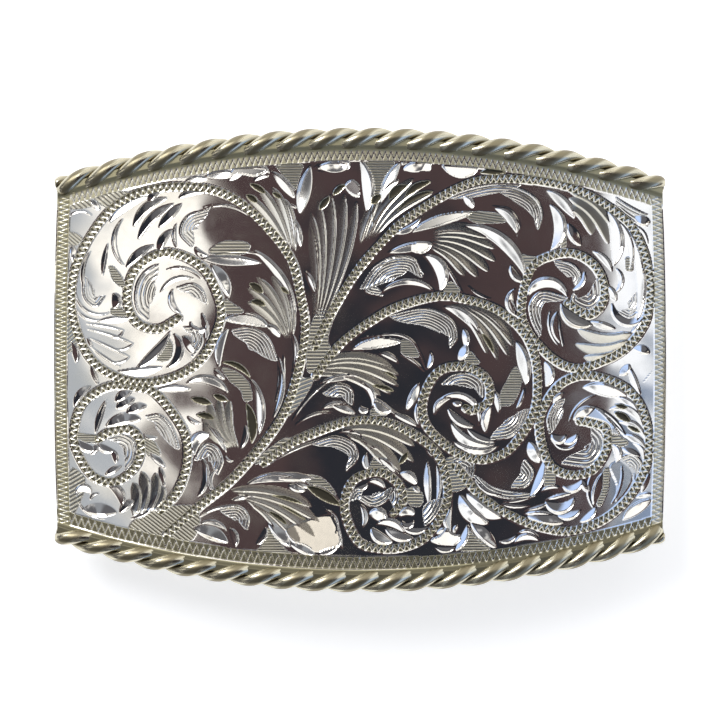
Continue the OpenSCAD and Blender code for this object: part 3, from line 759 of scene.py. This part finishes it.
# Broad flat cuts: corners as x and y from the highest on, fall along X and along Y
PLANES = [
    ((-5.0, -20.9, -3.4, -20.6, -2.8, -23.0, -2.6, -25.0, -4.4, -25.4, -5.9, -26.0, -7.4, -24.9,
     -9.2, -24.5, -10.2, -22.8, -8.6, -22.0), 0.0, -0.092),
    ((5.6, 25.4, 6.6, 26.4, 9.4, 27.0, 9.6, 25.4, 8.4, 25.2), 0.0, 0.24),
    ((13.6, 24.4, 12.2, 25.0, 10.8, 26.3, 13.2, 26.1, 16.0, 26.1, 15.4, 25.0), 0.0, 0.24),
    ((-6.4, 25.6, -4.0, 26.5, -1.5, 26.9, -1.4, 25.5, -3.6, 25.2), 0.0, 0.24),
    ((8.6, 14.3, 7.0, 14.6, 7.0, 15.8, 9.9, 15.7), 0.0, 0.24),
    ((12.6, -25.0, 10.6, -24.8, 9.4, -24.2, 11.0, -23.6, 11.6, -22.5, 12.4, -23.6, 13.6, -23.6,
     13.4, -24.4), 0.0, 0.24),
    ((-17.8, 24.3, -16.2, 25.2, -14.2, 24.7, -12.2, 25.5, -13.4, 26.2, -17.0, 26.0), 0.02, 0.24),
    ((-2.2, 23.4, -1.4, 22.4, -0.1, 21.8, -0.1, 23.6, -1.2, 24.3), 0.2, 0.12),
    ((6.6, 17.0, 8.4, 18.5, 10.4, 19.4, 13.0, 19.9, 15.4, 19.9, 13.4, 19.0, 11.0, 18.2, 8.8, 17.5), -0.05,
     0.24),
    ((-12.2, 4.4, -13.8, 4.6, -15.6, 4.9, -17.2, 5.1, -18.4, 5.5, -16.8, 6.1, -15.3, 6.2, -13.6, 5.7), 0.0,
     0.24),
    ((-1.4, 1.3, 0.4, 2.5, 2.8, 3.1, 5.8, 2.5, 3.8, 1.9, 1.4, 1.5), 0.0, 0.24),
    ((33.6, -14.4, 34.6, -13.6, 36.2, -14.2, 37.0, -16.0, 35.9, -18.0, 34.4, -19.4, 34.9, -17.0), -0.05,
     0.0),
    ((30.6, -6.4, 32.2, -6.6, 33.6, -7.8, 34.6, -9.2, 35.4, -10.2, 33.4, -9.9, 32.4, -8.6, 30.4, -8.0),
     0.06, -0.08),
]

# Single fine lines that edge the leaves
LINES = [
    [(-39.8, 18.4), (-38.6, 20.0), (-36.4, 19.6)],
    [(-38.5, 9.4), (-37.4, 7.0), (-34.0, 6.4)],
    [(-38.4, 6.9), (-36.8, 5.6), (-35.0, 5.4)],
    [(-36.9, 4.9), (-34.6, 4.6), (-32.0, 4.0)],
    [(-36.8, 4.2), (-33.8, 3.4), (-30.7, 2.2)],
    [(-36.6, 3.0), (-34.2, 1.9), (-31.2, 0.4)],
    [(-36.2, 1.6), (-34.6, 0.4), (-32.4, -0.9)],
    [(-33.6, 3.2), (-32.4, 3.3), (-32.0, 4.0)],
    [(-33.2, 1.5), (-31.8, 1.5), (-30.7, 2.2)],
    [(-33.8, -0.2), (-32.4, -0.3), (-31.2, 0.4)],
    [(-11.0, -0.8), (-10.9, -3.0), (-11.4, -5.6)],
    [(-10.3, 0.6), (-10.4, -3.3), (-11.7, -7.8)],
    [(-22.0, -21.3), (-20.0, -20.2), (-17.4, -19.6), (-15.8, -20.0)],
    [(31.6, -6.3), (33.6, -8.0), (36.0, -10.4)],
    [(31.8, -4.8), (29.6, -6.0), (28.3, -8.2)],
    [(26.2, -11.1), (27.8, -12.0), (29.5, -10.5)],
    [(0.2, 3.0), (4.4, 3.5), (6.8, 2.7), (8.1, 0.8), (8.9, -1.2)],
    [(5.4, 0.8), (7.0, 0.0), (8.6, -1.4)],
    [(17.5, 20.7), (20.0, 20.3), (21.5, 18.2), (21.2, 16.4)],
    [(25.7, 6.6), (25.6, 4.2), (26.8, 2.0)],
    [(26.9, 6.0), (27.0, 4.0), (27.5, 1.8)],
    [(20.2, 8.0), (21.0, 6.6), (21.3, 5.4)],
    [(-16.2, 6.4), (-13.6, 5.8), (-12.2, 4.2)],
    [(-20.4, 13.7), (-17.0, 14.6), (-12.4, 13.8)],
    [(13.8, 9.0), (12.6, 11.0), (11.2, 13.4)],
    [(14.6, 9.9), (16.0, 8.8), (17.6, 8.2)],
    [(2.4, 17.0), (1.6, 19.6), (2.6, 22.2)],
    [(-26.0, 12.2), (-23.4, 12.3), (-21.4, 11.0)],
    [(-38.3, -18.6), (-37.4, -20.2), (-34.4, -21.4)],
    [(1.5, -7.0), (2.2, -5.4), (4.8, -7.2), (8.0, -9.0)],
    [(1.4, -14.8), (2.0, -12.9), (4.6, -14.8), (6.0, -16.6)],
    [(-9.0, -8.0), (-6.6, -4.8), (-3.2, -2.2)],
    [(-8.6, -8.7), (-6.4, -7.4), (-4.0, -7.0)],
    [(-12.2, -14.0), (-8.4, -11.9), (-4.6, -10.7)],
    [(18.6, -19.0), (21.0, -19.0), (23.6, -18.2)],
    [(32.0, -14.6), (30.8, -17.6), (31.6, -20.0)],
    [(35.4, -14.4), (35.2, -17.0), (34.0, -19.4)],
    [(37.2, -15.4), (36.6, -18.0), (35.0, -20.0)],
    [(-4.6, -20.2), (-3.6, -20.8), (-3.2, -23.2)],
    [(-21.0, 20.6), (-17.6, 20.7), (-13.0, 17.2)],
    [(-7.2, -16.9), (-4.8, -17.4), (-2.4, -19.8)],
    [(30.8, -6.2), (33.8, -7.6), (36.0, -10.4)],
    [(14.4, -22.0), (15.4, -23.6), (18.4, -25.8)],
]

# Borders: distance of the zigzag's middle from the outer edge, half its width, its pitch,
# and the tarnish between and in its cuts. Towards the right the bottom one slides out by
# a share of x.
TOP_BORDER = (3.74, 0.72, 0.76, 0.46, 0.12)
BOTTOM_BORDER = (4.05, 0.78, 0.92, 0.90, 0.08)
border_slide = 0.017
LEFT_BORDER = (0.95, 0.74, 0.66, 0.78, 0.16)
RIGHT_BORDER = (0.85, 0.66, 0.70, 0.40, 0.16)

# Solder fillets: where they start and are full, from the outer edge, their height, and
# the tarnish of the top and the bottom one
fillet_start = 3.1
fillet_end = 2.5
fillet_height = 0.40
fillet_dull_top = 0.66
fillet_dull_bottom = 0.92

face_x, face_y = sheet_grid()
work = Engraving(face_x, face_y)
for corners, pitch, lean in GROUND:
    work.ground(corners, pitch, lean)
for points, width, pitch in SHADING:
    work.shading(points, width, pitch)
for corners, lean_x, lean_y in PLANES:
    work.leaf_plane(corners, lean_x, lean_y)
for fan in FANS:
    work.fan(*fan)
for table in (
    CUTS_UPPER_LEFT,
    CUTS_TOP,
    CUTS_UPPER_RIGHT,
    CUTS_LOWER_LEFT,
    CUTS_BOTTOM,
    CUTS_LOWER_RIGHT,
):
    for cut in table:
        work.bright_cut(cut)
for cut in SLOTS:
    work.slot(cut)
for points in LINES:
    work.fine_line(points)
for points in (
    STEM_LOWER_LEFT,
    STEM_LEFT,
    STEM_RIGHT,
    STEM_LOWER_RIGHT,
    STEM_BOTTOM,
    STEM_MIDDLE,
):
    work.stem(points)
long_edge = arc_y + np.sqrt(edge_r**2 - work.x**2)
short_edge = half_w - end_r + np.sqrt(end_r**2 - work.y**2)
work.border(long_edge - work.y, work.x, *TOP_BORDER)
slide = border_slide * np.maximum(work.x, 0)
work.border(long_edge + work.y + slide, work.x, *BOTTOM_BORDER)
work.border(short_edge + work.x, work.y, *LEFT_BORDER)
work.border(short_edge - work.x, work.y, *RIGHT_BORDER)

# Solder runs up against the wire in a hollow fillet along both long edges
from_edge = np.minimum(long_edge - work.y, long_edge + work.y)
fillet = np.clip((fillet_start - from_edge) / (fillet_start - fillet_end), 0, 1)
fillet_dull = np.where(work.y > 0, fillet_dull_top, fillet_dull_bottom)
clear_of_it = fillet < 0.02
work.depth = work.depth * clear_of_it - fillet_height * fillet**2
work.tarnish = np.maximum(work.tarnish, np.clip(5 * fillet, 0, fillet_dull))


def make_mesh(name, points, faces):
    """Mesh from points in millimetres and faces given as arrays with one row a face."""
    loops = np.concatenate([np.asarray(f).ravel() for f in faces]).astype(np.int32)
    sides = np.concatenate([np.full(len(f), np.shape(f)[1]) for f in faces])
    mesh = bpy.data.meshes.new(name)
    mesh.vertices.add(len(points))
    mesh.vertices.foreach_set("co", (np.asarray(points, np.float32) * MM).ravel())
    mesh.loops.add(len(loops))
    mesh.loops.foreach_set("vertex_index", loops)
    mesh.polygons.add(len(sides))
    starts = np.concatenate([[0], np.cumsum(sides)[:-1]])
    mesh.polygons.foreach_set("loop_start", starts.astype(np.int32))
    mesh.update(calc_edges=True)
    mesh.validate()
    mesh.shade_smooth()
    piece = bpy.data.objects.new(name, mesh)
    bpy.context.scene.collection.objects.link(piece)
    return piece


def add_share(piece, name, values):
    """Number at each of the mesh's points that the material reads by name."""
    share = piece.data.attributes.new(name, "FLOAT", "POINT")
    share.data.foreach_set("value", np.asarray(values, np.float32))


def sheet_slice(name, first, last, crisp=72):
    """Closed slice of the sheet between two columns of the grid: the engraved face, the
    plain back under it, and the walls between them. Edges stay crisp where the surface
    turns by more than the given angle in degrees."""
    x = face_x[first : last + 1]
    y = face_y[first : last + 1]
    pick = np.arange(work.x.size).reshape(work.shape)[first : last + 1]
    z = bowed(bow_r, x) - work.depth[pick]
    wide, high = x.shape
    top = np.stack([x, y, z], -1).reshape(-1, 3)
    under = []
    for j in (0, high - 1):
        under.append(np.stack([x[:, j], y[:, j], bowed(bow_r - sheet_t, x[:, j])], -1))
    ids = np.arange(wide * high).reshape(wide, high)
    low = wide * high + np.arange(wide)
    up = low + wide
    face = np.stack([ids[:-1, :-1], ids[1:, :-1], ids[1:, 1:], ids[:-1, 1:]], -1).reshape(-1, 4)
    back = np.stack([low[:-1], up[:-1], up[1:], low[1:]], -1)
    near_wall = np.stack([ids[:-1, 0], low[:-1], low[1:], ids[1:, 0]], -1)
    far_wall = np.stack([ids[:-1, -1], ids[1:, -1], up[1:], up[:-1]], -1)
    first_end = np.concatenate([ids[0], [up[0], low[0]]])[None]
    last_end = np.concatenate([ids[-1][::-1], [low[-1], up[-1]]])[None]
    points = np.vstack([top] + under)
    piece = make_mesh(name, points, [face, back, near_wall, far_wall, first_end, last_end])
    back_finish = {"tarnish": back_dull, "ruled": 0, "count": 0}
    for share, plain in back_finish.items():
        values = getattr(work, share)[pick].ravel()
        add_share(piece, share, np.concatenate([values, np.full(2 * wide, plain)]))
    piece.data.set_sharp_from_angle(angle=np.radians(crisp))
    return piece


def node(tree, kind, **settings):
    """Shader node with some of its sockets or settings filled in."""
    made = tree.nodes.new(kind)
    for key, value in settings.items():
        if key in made.inputs:
            made.inputs[key].default_value = value
        else:
            setattr(made, key, value)
    return made


def attribute(tree, name):
    """Number that the mesh holds at each point under that name."""
    return node(tree, "ShaderNodeAttribute", attribute_name=name).outputs["Fac"]


def calc(tree, operation, a, b=0.0, c=0.0):
    """One sum on two or three numbers, each a socket or a constant."""
    made = node(tree, "ShaderNodeMath", operation=operation)
    for socket, value in zip(made.inputs, (a, b, c)):
        if isinstance(value, (int, float)):
            socket.default_value = value
        else:
            tree.links.new(value, socket)
    return made.outputs[0]


def ramp(tree, value, low, high, to_low=0.0, to_high=1.0):
    """Value carried from one range to another and held at its ends."""
    made = node(tree, "ShaderNodeMapRange", clamp=True)
    limits = {"From Min": low, "From Max": high, "To Min": to_low, "To Max": to_high}
    for key, number in limits.items():
        made.inputs[key].default_value = number
    tree.links.new(value, made.inputs["Value"])
    return made.outputs["Result"]


def blend_colour(tree, share, low, high):
    """Mix of two colours, each a socket or a constant, by a share."""
    made = node(tree, "ShaderNodeMix", data_type="RGBA")
    tree.links.new(share, made.inputs["Factor"])
    ends = [s for s in made.inputs if s.type == "RGBA"]
    for socket, value in zip(ends, (low, high)):
        if isinstance(value, tuple):
            socket.default_value = (*value, 1)
        else:
            tree.links.new(value, socket)
    return [s for s in made.outputs if s.type == "RGBA"][0]


def metal(name):
    """Material with one metal shader, and its node tree."""
    material = bpy.data.materials.new(name)
    material.use_nodes = True
    tree = material.node_tree
    shader = tree.nodes["Principled BSDF"]
    shader.inputs["Metallic"].default_value = 1.0
    return material, tree, shader


def grain(tree, scale, detail=3.0):
    """Even noise over the piece's own coordinates."""
    place = node(tree, "ShaderNodeTexCoord").outputs["Object"]
    made = node(tree, "ShaderNodeTexNoise", Scale=scale, Detail=detail)
    tree.links.new(place, made.inputs["Vector"])
    return made.outputs["Fac"]


BRIGHT_SILVER = (0.93, 0.91, 0.88)
OLD_TARNISH = (0.52, 0.48, 0.31)
DEEP_TARNISH = (0.075, 0.068, 0.050)
LINE_DIRT = (0.16, 0.14, 0.10)


def engraved_silver():
    """Bright silver that goes olive and then dark as the tarnish grows, rougher with it,
    and has faint patches and scratches all over. The ruled lines are narrow dirty grooves,
    at whole numbers of the line count, with ridges between them."""
    material, tree, shader = metal("engraved_silver")
    tarnish = attribute(tree, "tarnish")
    ruled = attribute(tree, "ruled")
    wave = calc(tree, "PINGPONG", attribute(tree, "count"), 0.5)
    groove_rim, groove_floor = 0.34, 0.08
    groove = calc(tree, "MULTIPLY", ruled, ramp(tree, wave, groove_rim, groove_floor))
    patches = ramp(tree, grain(tree, 160.0), 0.45, 0.75, 0.0, 0.10)
    share = calc(tree, "MAXIMUM", tarnish, patches)
    colour = blend_colour(tree, ramp(tree, share, 0.0, 0.5), BRIGHT_SILVER, OLD_TARNISH)
    colour = blend_colour(tree, ramp(tree, share, 0.6, 1.0), colour, DEEP_TARNISH)
    dirt = ramp(tree, tarnish, 0.08, 0.24, 0.42, 0.7)
    colour = blend_colour(tree, calc(tree, "MULTIPLY", groove, dirt), colour, LINE_DIRT)
    tree.links.new(colour, shader.inputs["Base Color"])
    polished, dull = 0.05, 0.5
    rough = ramp(tree, share, 0.0, 0.5, polished, dull)
    scratch = calc(tree, "MULTIPLY_ADD", grain(tree, 900.0, 6.0), 0.05, rough)
    tree.links.new(scratch, shader.inputs["Roughness"])
    groove_deep = 0.09 * MM
    relief = node(tree, "ShaderNodeBump", Strength=1.0, Distance=groove_deep)
    relief.invert = True
    tree.links.new(groove, relief.inputs["Height"])
    tree.links.new(relief.outputs["Normal"], shader.inputs["Normal"])
    return material


face_silver = engraved_silver()
each = columns // len(SLICES)
for k, name in enumerate(SLICES):
    piece = sheet_slice(name, k * each, (k + 1) * each)
    piece.data.materials.append(face_silver)
    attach(piece, "root")
    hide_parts("plate")

# Twisted wire edges
# Two round nickel silver wires twisted into a rope and soldered along each long edge of
# the sheet; the hollows between the strands keep tarnish that polishing doesn't reach.
lobes = 19
wire_rise = 1.0
wire_bow_r = bow_r + wire_rise - wire_d / 2
wire_reach = half_w - 0.4

# Rings along a wire and points round it, then its section: radius of the valley between
# the strands as a share of the full one, power of the cosine, and how sharply they meet,
# then the length of the rounded end and its size at the tip
rings = lobes * 24
sides = 64
valley = 0.36
lobe_root = 0.32
valley_sharp = 9
end_round = 1.2
end_share = 0.6


def twisted_wire(name, flip, crisp=60):
    """Section of two touching round strands, carried along an arc that follows the bow
    and turned by half a turn for each lobe. Its radius is a root of the cosine of the
    angle from the line through both strands, but no less than the valley, and the two are
    joined smoothly by a sum of high powers. The ends are rounded over a short length."""
    reach = np.arcsin(wire_reach / plan_r)
    a = np.linspace(-reach, reach, rings + 1)
    x = plan_r * np.sin(a)
    centre = np.stack([x, arc_y + plan_r * np.cos(a), bowed(wire_bow_r, x)], 1)
    normal = np.stack([x, 0 * x, np.sqrt(wire_bow_r**2 - x**2)], 1) / wire_bow_r
    along = np.gradient(centre, axis=0)
    along /= np.linalg.norm(along, axis=1)[:, None]
    across = np.cross(normal, along)
    s = np.linspace(0, 2 * np.pi, sides, endpoint=False)
    ridge = np.abs(np.cos(s)) ** (valley_sharp * lobe_root) + valley**valley_sharp
    ridge = ridge ** (1 / valley_sharp)
    near = np.clip(plan_r * (reach - np.abs(a)) / end_round, 0, 1)
    size = end_share + (1 - end_share) * np.sqrt(1 - (1 - near) ** 2)
    turn = s - np.pi * lobes * np.linspace(0, 1, rings + 1)[:, None]
    r = (wire_d / 2 * size[:, None] * ridge)[..., None]
    out = np.cos(turn)[..., None] * across[:, None] + np.sin(turn)[..., None] * normal[:, None]
    points = (centre[:, None] + r * out).reshape(-1, 3)
    if flip:
        points[:, :2] *= -1
    ids = np.arange(len(points)).reshape(rings + 1, sides)
    on = np.roll(ids, -1, axis=1)
    skin = np.stack([ids[:-1], ids[1:], on[1:], on[:-1]], -1).reshape(-1, 4)
    piece = make_mesh(name, points, [skin, ids[:1][:, ::-1], ids[-1:]])
    bm = bmesh.new()
    bm.from_mesh(piece.data)
    bmesh.ops.recalc_face_normals(bm, faces=bm.faces)
    bm.to_mesh(piece.data)
    bm.free()
    # The hollow share also marks the strands' crests, which the material darkens as a painted reflection
    hollow = np.tile((1 - ridge) / (1 - valley), rings + 1)
    add_share(piece, "tarnish", hollow)
    piece.data.set_sharp_from_angle(angle=np.radians(crisp))
    return piece


WIRE_SILVER = (0.66, 0.62, 0.48)
# Dark colour of the tarnish in the hollows, also used for the painted dark reflection on the crests
WIRE_TARNISH_AND_REFLECTION = (0.15, 0.12, 0.06)


def wire_silver():
    """Yellowed nickel silver, dark with tarnish in the hollows between the strands, with a
    painted dark reflection along their crests, and with faint patches."""
    material, tree, shader = metal("wire_silver")
    hollow = ramp(tree, attribute(tree, "tarnish"), 0.30, 0.95)
    patches = ramp(tree, grain(tree, 420.0), 0.40, 0.70)
    share = calc(tree, "MULTIPLY_ADD", patches, 0.15, hollow)
    # Painted dark reflection: the crests, where the hollow share is least, are darkened in the colour as
    # if they mirrored the dark opening overhead
    crest_painted_reflection = ramp(tree, attribute(tree, "tarnish"), 0.12, 0.03)
    share = calc(tree, "MAXIMUM", share, calc(tree, "MULTIPLY", crest_painted_reflection, 0.75))
    colour = blend_colour(tree, share, WIRE_SILVER, WIRE_TARNISH_AND_REFLECTION)
    tree.links.new(colour, shader.inputs["Base Color"])
    rough = calc(tree, "MULTIPLY_ADD", share, 0.25, 0.16)
    tree.links.new(rough, shader.inputs["Roughness"])
    return material


rope_silver = wire_silver()
for name, flip in (("wire_top", False), ("wire_bottom", True)):
    piece = twisted_wire(name, flip)
    piece.data.materials.append(rope_silver)
    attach(piece, "root")
    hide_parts("plate")

# Belt loop and hook
# Plain nickel silver fittings on the back: the wire staple that holds the fixed end of
# the belt, and the pin for its holes. Both are cast or bent, tumbled and not polished.
NICKEL = (0.62, 0.59, 0.54)
NICKEL_DULL = (0.36, 0.33, 0.28)


def nickel_silver():
    """Greyer, duller metal, with soft dark patches and a fine tumbled grain."""
    material, tree, shader = metal("nickel_silver")
    patches = ramp(tree, grain(tree, 240.0), 0.35, 0.75)
    colour = blend_colour(tree, patches, NICKEL, NICKEL_DULL)
    tree.links.new(colour, shader.inputs["Base Color"])
    tree.links.new(calc(tree, "MULTIPLY_ADD", patches, 0.2, 0.25), shader.inputs["Roughness"])
    grain_deep = 0.03 * MM
    relief = node(tree, "ShaderNodeBump", Strength=0.25, Distance=grain_deep)
    tree.links.new(grain(tree, 2600.0, 2.0), relief.inputs["Height"])
    tree.links.new(relief.outputs["Normal"], shader.inputs["Normal"])
    return material


fitting_metal = nickel_silver()
for name in ("belt_loop", "hook"):
    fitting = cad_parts[name]
    fitting.data.materials.clear()
    fitting.data.materials.append(fitting_metal)

# Studio
# A pale table, seen straight from above as in the photo. The light is a white tent all
# round, with a dark opening over the buckle where the camera looks in.
pixel = 0.1345 * MM
picture_pixels = 720
picture_width = picture_pixels * pixel
camera_height = 0.6
sensor = 36.0
floor_half = 1.5

table_top = bpy.data.meshes.new("floor")
signs = ((-1, -1), (1, -1), (1, 1), (-1, 1))
floor_corners = [(floor_half * a, floor_half * b, 0) for a, b in signs]
table_top.from_pydata(floor_corners, [], [(0, 1, 2, 3)])
floor = bpy.data.objects.new("floor", table_top)
bpy.context.scene.collection.objects.link(floor)
floor_paint = bpy.data.materials.new("pale_floor")
floor_paint.use_nodes = True
paint = floor_paint.node_tree.nodes["Principled BSDF"].inputs
paint["Base Color"].default_value = (0.9, 0.9, 0.9, 1)
paint["Roughness"].default_value = 0.9
paint["Emission Color"].default_value = (1, 1, 1, 1)
paint["Emission Strength"].default_value = 0.50
table_top.materials.append(floor_paint)

tent_strength = 1.15
TENT = (1.08, 1.05, 0.99)
TENT_COOL = (0.94, 0.97, 1.02)
TENT_SHADE = (0.11, 0.11, 0.12)
WINDOW = (0.50, 0.66, 1.0)
CREAM = (0.92, 0.86, 0.76)
CLOUD = (0.40, 0.43, 0.47)
DUSK = (0.12, 0.155, 0.215)
OPENING = (0.064, 0.043, 0.045)
LENS = (0.020, 0.022, 0.029)


def patch(tree, *edges):
    """Share of a patch of light: the product of its soft edges, each given by a number's
    socket and by the values where the edge starts and where it is full."""
    share = ramp(tree, *edges[0])
    for edge in edges[1:]:
        share = calc(tree, "MULTIPLY", share, ramp(tree, *edge))
    return share


def tent_light():
    """Light by direction: the angles from straight up, along X and along Y in degrees,
    mark out the dark opening and the patches round it, and noise breaks the white of the
    rest of the tent. Each patch is laid over those before it."""
    world = bpy.data.worlds.new("tent")
    world.use_nodes = True
    tree = world.node_tree
    where = node(tree, "ShaderNodeTexCoord").outputs["Generated"]
    parts = node(tree, "ShaderNodeSeparateXYZ")
    tree.links.new(where, parts.inputs[0])
    x, y, z = parts.outputs
    along = calc(tree, "MULTIPLY", calc(tree, "ARCTAN2", x, z), 180 / np.pi)
    up = calc(tree, "MULTIPLY", calc(tree, "ARCTAN2", y, z), 180 / np.pi)
    noise = node(tree, "ShaderNodeTexNoise", Scale=4.2, Detail=2.0)
    tree.links.new(where, noise.inputs["Vector"])

    # White cloth: a level band on either side of the opening, and folds where the noise is
    # high, more of them high up and, there, to the right
    level = patch(tree, (calc(tree, "ABSOLUTE", up), 13, 8))
    left_band = patch(tree, (along, -12, -14), (along, -38, -32))
    right_band = patch(tree, (along, 23, 25), (along, 36, 32))
    bands = calc(tree, "MULTIPLY", calc(tree, "MAXIMUM", right_band, left_band), level)
    high = calc(tree, "MULTIPLY_ADD", y, 0.14, noise.outputs["Fac"])
    high_right = calc(tree, "MULTIPLY", x, ramp(tree, y, -0.05, 0.05))
    folds = ramp(tree, calc(tree, "MULTIPLY_ADD", high_right, 0.12, high), 0.46, 0.55)
    cool = ramp(tree, calc(tree, "MULTIPLY_ADD", y, -0.6, x), -0.35, 0.45)
    cloth = blend_colour(tree, cool, TENT, TENT_COOL)
    sky = blend_colour(tree, calc(tree, "MAXIMUM", bands, folds), TENT_SHADE, cloth)

    # Shade on the cloth: the lower part of the right band, the far part of the left one,
    # and all of the tent's lower side
    dusk = calc(tree, "MULTIPLY", right_band, ramp(tree, up, -0.2, -1.0))
    dusk = calc(tree, "MULTIPLY", dusk, level)
    far_left = ramp(tree, up, -0.6, 0.0, -21.5, -25.5)
    past = ramp(tree, calc(tree, "SUBTRACT", along, far_left), 0.0, -2.0)
    cloud = calc(tree, "MULTIPLY", past, left_band)
    low_side = ramp(tree, y, -0.05, -0.40, 0.0, 0.5)

    # Window, dark opening, the lens in the middle of it, and a cream patch low in it
    window = patch(tree, (along, 26, 34), (up, 2, -6), (along, 62, 48))
    left = ramp(tree, up, -1.2, -0.2, -21.5, -15.4)
    from_left = calc(tree, "SUBTRACT", along, left)
    opening = patch(tree, (from_left, -0.4, 0.4), (along, 24.6, 23.4), (up, 19, 17), (up, -23, -21))
    right = ramp(tree, up, 0.3, -2.0, 8.5, 21.0)
    from_right = calc(tree, "SUBTRACT", along, right)
    lens = patch(tree, (from_right, 1.2, -1.2), (along, -6.5, -5.0), (up, 1.7, 1.0))
    lens = calc(tree, "MULTIPLY", lens, opening)
    cream = patch(tree, (up, -9.5, -10.2), (up, -14.5, -13.5), (along, -10, -9), (along, 0, -1))
    for share, colour in (
        (dusk, DUSK),
        (cloud, CLOUD),
        (low_side, TENT_SHADE),
        (window, WINDOW),
        (opening, OPENING),
        (lens, LENS),
        (cream, CREAM),
    ):
        sky = blend_colour(tree, share, sky, colour)
    tree.links.new(sky, tree.nodes["Background"].inputs["Color"])
    tree.nodes["Background"].inputs["Strength"].default_value = tent_strength
    bpy.context.scene.world = world


tent_light()

lamp = bpy.data.lights.new("soft_light", "AREA")
lamp.shape = "DISK"
lamp.size = 0.5
lamp.energy = 4.0
lamp_stand = bpy.data.objects.new("soft_light", lamp)
lamp_stand.location = (-0.45, 0.5, 0.7)
aim = Vector((0, 0, 0)) - lamp_stand.location
lamp_stand.rotation_euler = aim.to_track_quat("-Z", "Y").to_euler()
bpy.context.scene.collection.objects.link(lamp_stand)

camera_data = bpy.data.cameras.new("camera")
camera_data.sensor_width = sensor
camera_data.lens = sensor * camera_height / picture_width
camera = bpy.data.objects.new("camera", camera_data)
camera.location = (0, 0, camera_height + face_top * MM)
bpy.context.scene.collection.objects.link(camera)
bpy.context.scene.camera = camera
bpy.context.scene.view_settings.view_transform = "Standard"
